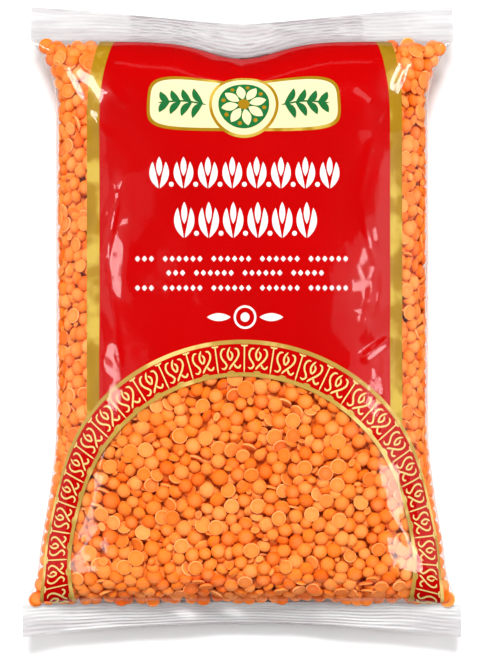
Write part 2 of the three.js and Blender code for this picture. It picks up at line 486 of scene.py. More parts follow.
    def place(self, face: Face, across: Array, along: Array) -> Array:
        """The film's points, without its folds.

        The front rises from the side line as the section says. The back falls to the table as a
        superellipse of the fourth power, and is pressed flat on it.

        Args:
            face: Front or back.
            across: Places across.
            along: Places along, of the same shape.

        Returns:
            The points, in one more dimension.
        """
        across, along = np.broadcast_arrays(np.asarray(across, float), np.asarray(along, float))
        turn = self.side_turn(along)
        up = smooth_step((along - self.taken_up_from) / self.taken_up_run)
        half = self.film_half - self.taken_up * up
        reach, drop = self.section(across, turn)
        side_reach, side_drop = self.section(np.ones_like(across), turn)
        pull = self.gather * np.clip((along - self.top_seal) / self.gather_run + 1, 0, 1) ** 2
        x = half * reach * (1 - pull * (1 - across**2))
        y = self.height_up(across, along)
        middle = 1 - np.clip(np.abs(along) / self.top_seal, 0, 1) ** 4
        level = blend(self.seal_level, self.side_level, middle) + self.seal_wave(across, along)
        inside = self.inside(along)
        gap = blend(self.seal_half_gap, self.half_gap, smooth_step(inside / self.gap_run))
        if face is Face.FRONT:
            z = level + half * (side_drop - drop) + self.swell(across, along) + gap
        else:
            round_off = np.sqrt(np.clip(1 - (np.abs(reach) / side_reach) ** 4, 0, 1))
            full = quarter_round(self.top_seal - along, self.back_shoulder)
            full = full * quarter_round(along - self.bottom_seal, self.back_shoulder)
            z = np.maximum(0, level - (level + self.back_press) * round_off * full - gap)
            over_seam = 1 - smooth_step((np.abs(x - self.seam_middle) - self.seam_half) / self.seam_fade)
            z = z + self.seam_tuck * over_seam * smooth_step(inside / self.seam_fade)
        return np.stack([x, y, z], -1)

    def lift(self, across: Array, along: Array) -> Array:
        """How far the folds lift the front film out of its smooth form.

        The shallow folds are highest along two lines near the sides and at the seals, by bells. All
        folds fade out at the side lines and at the seals.
        """
        u = across * self.film_half
        inside = self.inside(along)
        room = smooth_step(inside / self.fold_fade[1]) * smooth_step((1 - np.abs(across)) / self.fold_fade[0])
        by_sides = np.exp(-(((np.abs(u) - self.crumple_line) / self.crumple_line_width) ** 2))
        by_seals = self.crumple_at_ends * np.exp(-((inside / self.crumple_end_width) ** 2))
        share = self.crumple_least + by_sides + by_seals
        total = sum(crumple.lift(u, along) for crumple in self.crumples) * share
        total = total + sum(crease.lift(u, along) for crease in self.creases)
        return total * room

    def skin(self, face: Face, across: Array, along: Array, depth: Array | float = 0.0) -> Array:
        """Points at a depth under the film, with the folds of the front.

        Args:
            face: Front or back.
            across: Places across.
            along: Places along.
            depth: How far inwards, along the film's own normal.

        Returns:
            The points.
        """
        across, along = np.broadcast_arrays(np.asarray(across, float), np.asarray(along, float))
        centre, normal = self.place(face, across, along), self.normal(face, across, along)
        out = -np.asarray(depth, float) * np.ones(across.shape)
        if face is Face.FRONT:
            out = out + self.lift(across, along)
        return centre + normal * out[..., None]

    def normal(self, face: Face, across: Array, along: Array) -> Array:
        """The film's outward normals, by small differences of the law."""
        step_across, step_along = 0.002, 0.12
        side = self.place(face, across + step_across, along) - self.place(face, across - step_across, along)
        up = self.place(face, across, along + step_along) - self.place(face, across, along - step_along)
        out = unit(np.cross(side, up))
        return out if face is Face.FRONT else -out


# Finishes

class Nodes:
    """A small helper that builds one node material."""

    def __init__(self, name: str) -> None:
        """Starts an empty material with its output."""
        self.material = bpy.data.materials.new(name)
        self.material.use_nodes = True
        self.tree = self.material.node_tree
        self.tree.nodes.clear()
        self.output = self.tree.nodes.new("ShaderNodeOutputMaterial")

    def add(self, kind: str, inputs: dict[str | int, object] | None = None,
            **settings: object) -> bpy.types.Node:
        """Adds a node, sets its settings, and sets or links its inputs.

        Args:
            kind: The node's type, without the leading ShaderNode.
            inputs: For each input's name or number, a value or the socket that feeds it.
            **settings: Properties of the node itself.

        Returns:
            The node.
        """
        node = self.tree.nodes.new("ShaderNode" + kind)
        for name, value in settings.items():
            setattr(node, name, value)
        for name, value in (inputs or {}).items():
            if isinstance(value, Socket):
                self.tree.links.new(value, node.inputs[name])
            else:
                node.inputs[name].default_value = value
        return node

    def ramp(self, factor: Socket, stops: Sequence[tuple[float, Colour]]) -> Socket:
        """A colour ramp over a factor, from (place, colour) stops in rising order."""
        node = self.add("ValToRGB", {0: factor})
        elements = node.color_ramp.elements
        elements[0].position, elements[1].position = stops[0][0], stops[-1][0]
        for place, _ in stops[1:-1]:
            elements.new(place)
        for element, (_, colour) in zip(elements, stops):
            element.color = (*colour, 1)
        return node.outputs["Color"]

    def mix(self, factor: Socket | float, first: object, second: object, blend_type: str = "MIX") -> Socket:
        """Two colours mixed by a factor, each of them a socket or a fixed value."""
        node = self.add("Mix", {0: factor, 6: first, 7: second}, data_type="RGBA", blend_type=blend_type)
        return node.outputs[2]

    def noise(self, scale: float, detail: float = 2, stretch: Triple = (1, 1, 1)) -> Socket:
        """A noise over the piece in its own coordinates, which are metres."""
        place = self.add("TexCoord").outputs["Object"]
        place = self.add("Mapping", {"Vector": place, "Scale": stretch}).outputs["Vector"]
        return self.add("TexNoise", {"Vector": place, "Scale": scale, "Detail": detail}).outputs[0]

    def bump(self, height: Socket, distance: float) -> Socket:
        """A normal bent by a height, with the distance in metres."""
        return self.add("Bump", {"Height": height, "Distance": distance, "Strength": 1}).outputs["Normal"]

    def mark(self, name: str) -> Socket:
        """A number that is marked on the mesh's points."""
        return self.add("Attribute", attribute_name=name).outputs["Fac"]

    def sum(self, operation: str, first: Socket, second: Socket | float) -> Socket:
        """The result of a sum with two numbers, such as MULTIPLY."""
        return self.add("Math", {0: first, 1: second}, operation=operation).outputs[0]

    def cover(self, share: Socket | float, under: Socket, over: Socket) -> Socket:
        """One shader covered by another to the given share."""
        return self.add("MixShader", {0: share, 1: under, 2: over}).outputs[0]

    def plain(self, kind: str, colour: Colour, **inputs: object) -> Socket:
        """A shader of one fixed colour, with inputs by name."""
        return self.add(kind, {"Color": (*colour, 1), **inputs}).outputs[0]

    def mirror(self, index: float, normal: Socket) -> Socket:
        """How strongly a film of the given refractive index mirrors."""
        return self.add("Fresnel", {"IOR": index, "Normal": normal}).outputs[0]

    def finish(self, shader: Socket) -> bpy.types.Material:
        """Links the shader to the output and returns the material."""
        self.tree.links.new(shader, self.output.inputs["Surface"])
        return self.material


@dataclass(frozen=True)
class ClearFilm:
    """Thin clear film: see-through, with a gloss that grows towards grazing angles, and pale side edges."""

    name: str = "clear_film"
    clear: Colour = (0.99, 0.985, 0.985)
    milk: Colour = (0.95, 0.86, 0.83)
    roughness: float = 0.05
    soft_roughness: float = 0.24
    soft_share: float = 0.3
    most_mirror: float = 0.11
    edge_haze: float = 0.9
    edge_power: float = 4.0
    index: float = 1.5
    ripple_scale: float = 180
    ripple_depth: float = 0.00003

    def material(self) -> bpy.types.Material:
        """Builds the material. Its gloss is a sharp one and a soft one together."""
        nodes = Nodes(self.name)
        normal = nodes.bump(nodes.noise(self.ripple_scale), self.ripple_depth)
        facing = nodes.add("LayerWeight", {"Blend": 0.5}).outputs["Facing"]
        side = nodes.sum("MULTIPLY", nodes.mark("side"), self.edge_haze)
        haze = nodes.sum("MULTIPLY", nodes.sum("POWER", facing, self.edge_power), side)
        body = nodes.cover(haze, nodes.plain("BsdfTransparent", self.clear),
                           nodes.plain("BsdfDiffuse", self.milk))
        sharp, soft = (nodes.plain("BsdfAnisotropic", (1, 1, 1), Roughness=roughness, Normal=normal)
                       for roughness in (self.roughness, self.soft_roughness))
        mirror = nodes.sum("MINIMUM", nodes.mirror(self.index, normal), self.most_mirror)
        return nodes.finish(nodes.cover(mirror, body, nodes.cover(self.soft_share, sharp, soft)))


@dataclass(frozen=True)
class CrimpedFilm:
    """The doubled, crimped film of the seals: milky, glossy and only partly see-through."""

    name: str
    see_through: float
    shade: float
    dark: Colour = (0.84, 0.78, 0.81)
    pale: float = 1.1
    # The colour of the painted highlight on the pinches.
    pinch_highlight_colour: Colour = (0.86, 0.85, 0.85)
    clear: Colour = (0.96, 0.96, 0.96)
    groove_depth: float = 0.0008
    roughness: float = 0.16
    index: float = 1.5

    def material(self) -> bpy.types.Material:
        """Builds the material. Its milkiness varies in streaks along the seal, and the pinches carry a
        painted highlight.
        """
        nodes = Nodes(self.name)
        dark = tuple(self.shade * c for c in self.dark)
        streaks = nodes.noise(110, 4, (0.35, 3.5, 1))
        cloud = nodes.ramp(streaks, [(0.32, dark), (0.62, (self.shade * self.pale,) * 3)])
        # Painted highlight: the pinched places turn pale.
        cloud = nodes.mix(nodes.mark("pinch_highlight"), cloud, (*self.pinch_highlight_colour, 1))
        normal = nodes.bump(nodes.noise(150, 2, (0.35, 2.2, 1)), self.groove_depth)
        milky = nodes.add("BsdfDiffuse", {"Color": cloud, "Normal": normal}).outputs[0]
        body = nodes.cover(self.see_through, milky, nodes.plain("BsdfTransparent", self.clear))
        gloss = nodes.plain("BsdfAnisotropic", (1, 1, 1), Roughness=self.roughness, Normal=normal)
        return nodes.finish(nodes.cover(nodes.mirror(self.index, normal), body, gloss))


@dataclass(frozen=True)
class Ink:
    """Print on the inside of the film: a colour that is a little cloudy, or has patches of painted highlight,
    a paler colour.
    """

    name: str
    colour: Colour
    cloud: float = 0.06
    cloud_scale: float = 45
    grain: float = 0.03
    painted_highlight: Colour | None = None

    def material(self) -> bpy.types.Material:
        """Builds the material from two noises: slow clouds of ink, with painted highlight where given, and a
        fine grain.
        """
        nodes = Nodes(self.name)
        darker = tuple(c * (1 - self.cloud) for c in self.colour)
        lighter = tuple(min(1.0, c * (1 + self.cloud)) for c in self.colour)
        stops = [(0.35, darker), (0.65, lighter)]
        # For metallic ink, the palest stop is painted highlight.
        if self.painted_highlight is not None:
            stops = [(0.36, darker), (0.52, self.colour), (0.62, self.painted_highlight)]
        base = nodes.ramp(nodes.noise(self.cloud_scale, 3), stops)
        fine = nodes.ramp(nodes.noise(2600, 1), [(0.3, (1 - self.grain,) * 3), (0.7, (1, 1, 1))])
        colour = nodes.mix(1.0, base, fine, "MULTIPLY")
        paint = nodes.add("BsdfPrincipled", {"Base Color": colour, "Roughness": 0.6,
                                             "Specular IOR Level": 0.0})
        return nodes.finish(paint.outputs[0])


@dataclass(frozen=True)
class LentilFlesh:
    """The lentils' orange flesh, each a little different, with painted highlight on flat rims and dome tops.
    """

    name: str = "lentil_flesh"
    deep: Colour = (0.8, 0.116, 0.001)
    common: Colour = (0.85, 0.182, 0.009)
    pale: Colour = (0.9, 0.275, 0.055)
    # The colour of the painted highlight on flat rims and dome tops.
    rim: Colour = (0.97, 0.46, 0.18)

    def material(self) -> bpy.types.Material:
        """Builds the material from each lentil's tint, the marked painted highlight, and a mealy noise."""
        nodes = Nodes(self.name)
        flesh = nodes.ramp(nodes.mark("tint"), [(0.0, self.deep), (0.45, self.common), (1.0, self.pale)])
        mealy = nodes.ramp(nodes.noise(900, 3), [(0.3, (0.86, 0.82, 0.8)), (0.7, (1, 1, 1))])
        # Painted highlight: the rim colour, mixed in by the marks.
        edge = nodes.mix(nodes.mark("rim"), nodes.mix(1.0, flesh, mealy, "MULTIPLY"), (*self.rim, 1))
        normal = nodes.bump(nodes.noise(1500, 2), 0.00012)
        body = nodes.add("BsdfPrincipled", {"Base Color": edge, "Roughness": 0.55,
                                            "Specular IOR Level": 0.12, "Normal": normal})
        return nodes.finish(body.outputs[0])


@dataclass(frozen=True)
class PaleFloor:
    """A plain, almost white studio floor."""

    name: str = "pale_floor"
    colour: Colour = (0.81, 0.81, 0.81)

    def material(self) -> bpy.types.Material:
        """Builds the material, with the faintest cloud in it."""
        nodes = Nodes(self.name)
        darker = tuple(c * 0.995 for c in self.colour)
        cloud = nodes.ramp(nodes.noise(3, 1), [(0.3, darker), (0.7, self.colour)])
        return nodes.finish(nodes.add("BsdfDiffuse", {"Color": cloud}).outputs[0])


# Film and seals

@dataclass
class FilmTube:
    """The clear film round the lentils: front and back in one closed skin."""

    form: BagForm
    front_columns: int = 216
    rows: int = 300
    crowding: float = 0.3
    side_from: float = 0.9
    side_run: float = 0.08

    def surface(self) -> Surface:
        """The skin as rows that run round the bag, and a strip that closes it at each seal.

        The back has half as many columns as the front, so each closing strip pairs one step of the
        back with two of the front. The rows crowd towards the seals. The mark "side" rises from 0 to 1
        towards the side lines.
        """
        back_columns = self.front_columns // 2
        ends = (self.form.bottom_seal, self.form.top_seal)
        even = np.linspace(0, 1, self.rows + 1)
        share = even - self.crowding * np.sin(2 * np.pi * even) / (2 * np.pi)
        along = blend(ends[0], ends[1], share)[:, None]
        across = np.linspace(-1, 1, self.front_columns + 1)[None, :]
        back_across = np.linspace(1, -1, back_columns + 1)[None, :]
        front = self.form.skin(Face.FRONT, across, along)
        back = self.form.skin(Face.BACK, back_across, along)
        columns = self.front_columns + back_columns + 2
        ring = np.concatenate([front, back], 1)
        caps = [self.cap(0), self.cap(self.rows * columns)[:, ::-1]]
        all_across = np.abs(np.concatenate([across, back_across], 1))
        side = smooth_step((all_across - self.side_from) / self.side_run)
        marks = {"side": np.repeat(side, self.rows + 1, 0).ravel()}
        quads = grid_quads(self.rows + 1, columns, closed=True)
        return Surface(ring.reshape(-1, 3), quads, np.concatenate(caps), marks)

    def cap(self, start: int) -> Array:
        """The triangles that close one end, whose first point has the given number."""
        step = np.arange(self.front_columns // 2)
        front = start + 2 * step
        back = start + self.front_columns + 1 + self.front_columns // 2 - step
        faces = [(front, back, front + 1), (front + 1, back, back - 1), (front + 1, back - 1, front + 2)]
        return np.concatenate([np.stack(face, -1) for face in faces])

    def build(self, finish: ClearFilm) -> None:
        """Makes the piece."""
        make_piece("film", self.surface(), finish.material(), Slot.FILM)


@dataclass
class CrimpedSeal:
    """One end seal: two films pressed together between toothed jaws, so that ridges run along it."""

    form: BagForm
    name: str
    inner: float
    outer: float
    firm: Pair
    pinches: tuple[Pair, ...] = ()
    pinch_size: Pair = (3.6, 0.24)
    pinch_lean: float = 6.0
    pinch_height: float = 0.8
    ridges: int = 8
    ridge_height: float = 0.26
    weak_share: float = 0.45
    bends: tuple[Wave, ...] = (Wave(0.035, 7, 2), Wave(0.02, 19, 0))
    firm_step: float = 0.12
    pucker_height: float = 0.1
    lap_step: float = 0.2
    lap: Pair = (0.3, 12.0)
    columns: int = 240
    rows_per_ridge: int = 6

    def ridge(self, share: Array, across: Array) -> Array:
        """The ridges: a raised cosine from the inner to the outer edge, to the power of one and a half.

        Waves across the seal bend them. A product of two quick askew sines, and a third one, make
        their height uneven.
        """
        bend = sum(wave.at(across) for wave in self.bends)
        phase = 2 * np.pi * self.ridges * (share + bend * share * (1 - share) * 4)
        uneven = 1 + 0.2 * np.sin(across * 23 + share * 9) * np.sin(across * 9 - share * 7)
        uneven = uneven + 0.12 * np.sin(across * 51 + share * 31)
        return self.ridge_height * (0.5 - 0.5 * np.cos(phase)) ** 1.5 * uneven

    def bells(self, share: Array, u: Array) -> Array:
        """The bells at which the film is pinched up, each leaning a little to one side."""
        total = np.zeros(np.broadcast(share, u).shape)
        for centre, place in self.pinches:
            askew = (u - centre - self.pinch_lean * (share - place)) / self.pinch_size[0]
            total = total + np.exp(-(askew**2) - ((share - place) / self.pinch_size[1]) ** 2)
        return total

    def surface(self) -> Surface:
        """A thin slab. Both its faces carry the ridges.

        The ridges are firm between two lines across, where the top face is also higher, and weak
        beyond them. Where the lap of the back seam runs through it, the seal is one more film thick.
        Low puckers, the eighth power of a sine, run across it. The pinches are marked for a painted
        highlight.
        """
        share = np.linspace(0, 1, self.ridges * self.rows_per_ridge + 1)[:, None]
        across = np.linspace(-1, 1, self.columns + 1)[None, :]
        along = blend(self.inner, self.outer, share)
        u = across * self.form.film_half
        firm = between(u, self.firm, 0.6)
        fade = blend(self.weak_share, 1, firm) * smooth_step((1 - np.abs(across)) / 0.03)
        ridge = self.ridge(share, across) * fade
        bells = self.bells(share, u)
        puckers = self.pucker_height * np.maximum(0, np.sin(across * 31 + share * 3)) ** 8
        raised = self.lap_step * between(u, self.lap, 0.4) + self.firm_step * firm
        top = self.form.place(Face.FRONT, across, along)
        base = self.form.place(Face.BACK, across, along)
        top[..., 2] += ridge + raised + puckers + self.pinch_height * bells
        base[..., 2] += ridge
        if self.outer < self.inner:
            top, base, bells = top[::-1], base[::-1], bells[::-1]
        piece = slab(top, base)
        piece.marks = {"pinch_highlight": np.tile(np.clip(1.3 * bells, 0, 1).ravel(), 2)}
        return piece

    def build(self, finish: CrimpedFilm) -> None:
        """Makes the piece."""
        make_piece(self.name, self.surface(), finish.material(), Slot.SEAL)


@dataclass
class BackSeam:
    """The lap seam down the back, folded flat against the bag."""

    form: BagForm
    start: float = -1.0
    width: float = 12.0
    thickness: float = 0.22
    lift: float = 0.04
    ridge_height: float = 0.06
    ridges: int = 5
    columns: int = 40
    rows: int = 220

    def surface(self) -> Surface:
        """A long thin slab under the back film, with fine ridges along it."""
        share = np.linspace(0, 1, self.columns + 1)[None, ::-1]
        along = np.linspace(self.form.bottom_seal, self.form.top_seal, self.rows + 1)[:, None]
        across = (self.start + self.width * share) / self.form.film_half
        ridge = self.ridge_height * (0.5 - 0.5 * np.cos(2 * np.pi * self.ridges * share))
        outer = self.form.skin(Face.BACK, across, along, -self.lift - self.thickness + ridge)
        inner = self.form.skin(Face.BACK, across, along, -self.lift)
        piece = slab(outer, inner)
        piece.marks = {"pinch_highlight": np.zeros(len(piece.points))}
        return piece

    def build(self, finish: CrimpedFilm) -> None:
        """Makes the piece."""
        make_piece("back_seam", self.surface(), finish.material(), Slot.SEAL)


# Print

@dataclass(frozen=True)
class Layer:
    """How deep under the outer film a colour of ink lies, so that the finer print is nearer."""

    depth: float
    thickness: float = 0.012


GROUND = Layer(0.3)
BORDER = Layer(0.27)
PLATE = Layer(0.245)
FIGURE = Layer(0.22)
TOP = Layer(0.195)
DETAIL = Layer(0.17)
FINE = Layer(0.145)

ARCH_CENTRE = -73.7
ARCH_RADIUS = 68.0


@dataclass
class Printer:
    """Lays flat shapes on the film and gives them the thickness of ink."""

    form: BagForm
    face: Face = Face.FRONT
    leaf_samples: int = 12
    ring_samples: int = 40

    def sheet(self, u: Array, v: Array, layer: Layer, closed: bool = False) -> Surface:
        """A grid of places on the film as a thin closed sheet of ink.

        Args:
            u: Places across in millimetres of film, rows by columns, growing to the right.
            v: Places along, growing to the top.
            layer: The depth and thickness of the ink.
            closed: True where the rows run round.

        Returns:
            The closed surface.
        """
        u, v = np.broadcast_arrays(u, v)
        if self.face is Face.BACK:
            u, v = u[:, ::-1], v[:, ::-1]
        across = np.clip(u / self.form.film_half, -1, 1)
        outer = self.form.skin(self.face, across, v, layer.depth)
        inner = self.form.skin(self.face, across, v, layer.depth + layer.thickness)
        return slab(outer, inner, closed)

    def ribbon(self, path: Array, half_width: Array | float, layer: Layer, columns: int = 3,
               closed: bool = False) -> Surface:
        """A band of ink along a path.

        Args:
            path: The middle of the band, an array of places by 2 in millimetres of film.
            half_width: Half its width, one number or one for each place.
            layer: The depth and thickness of the ink.
            columns: The number of points across it.
            closed: True where the path ends where it begins.

        Returns:
            The closed surface.
        """
        if closed:
            onward = np.roll(path, -1, 0) - np.roll(path, 1, 0)
        else:
            onward = np.gradient(path, axis=0)
        aside = unit(np.stack([onward[:, 1], -onward[:, 0]], -1))
        half = np.broadcast_to(half_width, len(path))[:, None, None]
        spread = np.linspace(-1, 1, columns)[None, :, None] * half
        places = path[:, None, :] + aside[:, None, :] * spread
        if closed:
            places = np.swapaxes(places, 0, 1)[::-1]
        return self.sheet(places[..., 0], places[..., 1], layer, closed)

    def stroke(self, points: Sequence[Pair], half_width: float, layer: Layer, samples: int = 14) -> Surface:
        """A smooth line through some points. A root of its twelfth power rounds the ends of the width."""
        path = smooth_path(points, samples)
        share = np.linspace(-1, 1, samples)
        return self.ribbon(path, half_width * np.sqrt(1.03 - np.abs(share) ** 12), layer)

    def leaf(self, foot: Pair, tip: Pair, half_width: float, layer: Layer, bend: float = 0.0) -> Surface:
        """A leaf from foot to tip: its half width is a sine, and its midrib bends aside by another."""
        share = np.linspace(0, 1, self.leaf_samples)
        axis = np.subtract(tip, foot)
        path = np.asarray(foot) + share[:, None] * axis
        path = path + bend * np.sin(np.pi * share)[:, None] * np.array([axis[1], -axis[0]])
        return self.ribbon(path, half_width * (0.02 + np.sin(np.pi * share) ** 0.8), layer)

    def oval(self, centre: Pair, half: Pair, layer: Layer, power: float = 2.0, samples: int = 14,
             columns: int = 7) -> Surface:
        """A superellipse of the given power about a centre, as a band up its height."""
        share = np.sin(np.linspace(-1, 1, samples) * np.pi / 2) * 0.999
        path = np.stack([np.full(samples, centre[0]), centre[1] + half[1] * share], -1)
        width = half[0] * (1 - np.abs(share) ** power) ** (1 / power)
        return self.ribbon(path, width, layer, columns)

    def ring(self, centre: Pair, radius: float, half_width: float, layer: Layer) -> Surface:
        """A round ring."""
        turn = np.linspace(0, 2 * np.pi, self.ring_samples, endpoint=False)
        path = np.asarray(centre) + radius * np.stack([np.cos(turn), np.sin(turn)], -1)
        return self.ribbon(path, half_width, layer, closed=True)


@dataclass
class PrintedPanel:
    """The red field down the front with its gold stripes, above the round window."""

    printer: Printer
    middle: float = 1.0
    red_half: float = 48.6
    gold_half: float = 53.2
    under_arch: float = 0.4
    under_gold: float = 0.3
    rows: int = 180

    def field_between(self, left: float, right: float, columns: int, layer: Layer) -> Surface:
        """The film between two straight lines, from the circle of the arch up to the top seal."""
        u = np.linspace(left, right, columns)[None, :]
        foot = ARCH_CENTRE + np.sqrt(ARCH_RADIUS**2 - u**2) - self.under_arch
        v = blend(foot, self.printer.form.top_seal, np.linspace(0, 1, self.rows)[:, None])
        return self.printer.sheet(u, v, layer)

    def build(self, red: Ink, gold: Ink) -> None:
        """Makes the red field, which reaches a little under its borders, and the two gold stripes."""
        left, right = self.middle - self.red_half, self.middle + self.red_half
        red_field = self.field_between(left - self.under_gold, right + self.under_gold, 110, GROUND)
        make_piece("red_panel", red_field, red.material(), Slot.RED)
        stripes = [self.field_between(self.middle - self.gold_half, left, 8, BORDER),
                   self.field_between(right, self.middle + self.gold_half, 8, BORDER)]
        make_piece("gold_stripes", Surface.join(stripes), gold.material(), Slot.GOLD)


# One cell's scroll: two stems that cross, a bud between them, and a curled foot. Places go from -1 to 1
# across the cell and from -1 to 1 up it.
SCROLL = (
    ((-0.3, 0.7), (-0.52, 0.66), (-0.66, 0.35), (-0.6, 0.0),
     (-0.38, -0.3), (-0.3, -0.52), (-0.5, -0.72), (-0.72, -0.62)),
    ((0.3, 0.7), (0.52, 0.62), (0.6, 0.3), (0.46, -0.05), (0.2, -0.36), (-0.02, -0.6), (-0.14, -0.78)),
    ((0.02, 0.8), (-0.14, 0.5), (-0.18, 0.2), (-0.02, -0.12), (0.14, 0.12), (0.14, 0.32), (0.0, 0.52)),
    ((0.24, -0.4), (0.4, -0.62), (0.6, -0.66), (0.74, -0.46)),
)
BAR = ((0, -1.02), (0, 0), (0, 1.02))
BAR_HEAD = ((-0.24, 0.93), (0, 0.86), (0.24, 0.93))
SCALLOP = ((-0.3, -1.0), (0, -0.93), (0.3, -1.0))


@dataclass
class ArchBand:
    """The band round the window: red between two gold lines, with a scroll in each of its cells."""

    printer: Printer
    inner: float = 56.3
    line: float = 1.3
    under_line: float = 0.6
    cell_degrees: float = 8.5
    cells: int = 26
    middle_degrees: float = 89.3
    rows: int = 260

    def arc(self, low: float, high: float, columns: int, layer: Layer) -> Surface:
        """The part of the band between two radii, down to the bottom seal at both its ends."""
        radius = np.linspace(low, high, columns)[None, :]
        end = np.arcsin((self.printer.form.bottom_seal - ARCH_CENTRE) / radius)
        turn = blend(end, np.pi - end, np.linspace(0, 1, self.rows)[:, None])
        return self.printer.sheet(radius * np.cos(turn), ARCH_CENTRE + radius * np.sin(turn), layer)

    def stroke(self, degrees: float, points: Sequence[Pair], half_width: float, layer: Layer = DETAIL,
               samples: int = 8) -> Surface:
        """A line of ink in a cell, kept above the bottom seal.

        Args:
            degrees: The angle of the cell's middle, from the right.
            points: Places from -1 to 1 across the cell and from -1 to 1 up it.
            half_width: Half the line's width in millimetres.
            layer: The depth and thickness of the ink.
            samples: The number of places along the line.

        Returns:
            The closed surface.
        """
        reach = (ARCH_RADIUS - self.inner) / 2 - self.line
        middle = (ARCH_RADIUS + self.inner) / 2
        lowest = self.printer.form.bottom_seal + 0.3
        spots = []
        for across, up in points:
            turn = math.radians(degrees - across * self.cell_degrees / 2)
            radius = middle + up * reach
            spots.append((radius * math.cos(turn), max(ARCH_CENTRE + radius * math.sin(turn), lowest)))
        return self.printer.stroke(spots, half_width, layer, samples)

    def build(self, red: Ink, gold: Ink, cream: Ink) -> None:
        """Makes the red band, its gold lines with a low bump in each cell, and the cream scrolls and bars."""
        field_band = self.arc(self.inner + self.under_line, ARCH_RADIUS - self.under_line, 12, GROUND)
        make_piece("arch_red", field_band, red.material(), Slot.RED)
        first = self.middle_degrees - (self.cells - 1) / 2 * self.cell_degrees
        turns = [first + k * self.cell_degrees for k in range(self.cells)]
        lines = [self.arc(self.inner, self.inner + self.line, 4, BORDER),
                 self.arc(ARCH_RADIUS - self.line, ARCH_RADIUS, 4, BORDER)]
        lines += [self.stroke(turn, SCALLOP, 0.3, BORDER) for turn in turns]
        make_piece("arch_gold", Surface.join(lines), gold.material(), Slot.GOLD)
        scrolls = [self.stroke(turn, points, 0.29, samples=14) for turn in turns for points in SCROLL]
        for turn in turns[:-1]:
            edge = turn + self.cell_degrees / 2
            scrolls += [self.stroke(edge, BAR, 0.22), self.stroke(edge, BAR_HEAD, 0.26)]
        make_piece("arch_scrolls", Surface.join(scrolls), cream.material(), Slot.CREAM)


@dataclass
class Emblem:
    """A cream plate with a gold rim and two sprigs, and in its middle a round green badge with a flower."""

    printer: Printer
    centre: Pair = (0.6, 70.3)
    half: Pair = (31.2, 8.4)
    rim: float = 1.0
    squareness: float = 5.0
    badge: float = 10.6
    field: float = 8.5
    eye: float = 1.9
    petals: int = 8
    first_petal: float = 0.2
    petal_tip: float = 7.6
    bead_ring: float = 6.9
    bead: float = 0.7
    stem: tuple[Pair, ...] = ((12.5, -0.5), (20, 0.5), (28.5, -0.3))
    leaf_pairs: int = 4
    first_leaf: float = 13.6
    leaf_pitch: float = 3.7
    leaf: Pair = (3.4, 5.2)
    leaf_shrink: float = 0.6

    def spot(self, turn: float, radius: float) -> Pair:
        """The place at an angle and a distance from the emblem's centre."""
        return self.centre[0] + radius * math.cos(turn), self.centre[1] + radius * math.sin(turn)

    def disc(self, radius: float, layer: Layer) -> Surface:
        """A disc about the emblem's centre."""
        return self.printer.oval(self.centre, (radius, radius), layer, samples=36, columns=25)

    def plate(self, grown: float, layer: Layer) -> Surface:
        """The long plate, grown on all sides by a length."""
        half = (self.half[0] + grown, self.half[1] + grown)
        return self.printer.oval(self.centre, half, layer, self.squareness, 40, 70)

    def sprig(self, side: int) -> list[Surface]:
        """A stem with pairs of leaves that shrink towards its tip, on one side of the badge."""
        cx, cy = self.centre
        stem = [(cx + side * x, cy + y) for x, y in self.stem]
        shapes = [self.printer.stroke(stem, 0.28, DETAIL, 16)]
        for k in range(self.leaf_pairs):
            foot = (cx + side * (self.first_leaf + self.leaf_pitch * k), cy)
            for up in (-1, 1):
                tip = (foot[0] + side * self.leaf[0], cy + up * (self.leaf[1] - self.leaf_shrink * k))
                shapes.append(self.printer.leaf(foot, tip, 1.1, DETAIL, bend=0.12 * side * up))
        return shapes

    def build(self, gold: Ink, cream: Ink, green: Ink) -> None:
        """Makes the rims, the plates, the sprigs and the flower."""
        make_piece("emblem_rim", self.plate(self.rim, BORDER), gold.material(), Slot.GOLD)
        turns = np.arange(self.petals) * 2 * np.pi / self.petals + self.first_petal
        petals = [self.printer.leaf(self.spot(t, self.eye), self.spot(t, self.petal_tip), 1.5, FINE)
                  for t in turns]
        plates = [self.plate(0, PLATE), self.disc(self.badge, TOP), *petals]
        make_piece("emblem_plate", Surface.join(plates), cream.material(), Slot.CREAM)
        bead = (self.bead, self.bead)
        beads = [self.printer.oval(self.spot(t, self.bead_ring), bead, FINE, samples=8, columns=5)
                 for t in turns + np.pi / self.petals]
        eye = self.printer.oval(self.centre, (self.eye, self.eye), FINE)
        gold_parts = [self.disc(self.badge + self.rim, FIGURE), eye, *beads]
        make_piece("emblem_gold", Surface.join(gold_parts), gold.material(), Slot.GOLD)
        green_parts = [self.disc(self.field, DETAIL), *self.sprig(-1), *self.sprig(1)]
        make_piece("emblem_green", Surface.join(green_parts), green.material(), Slot.GREEN)


@dataclass(frozen=True)
class SproutRow:
    """One row of sprouts: its two ends, its level, and the sprouts' height and number."""

    left: float
    right: float
    level: float
    height: float
    count: int


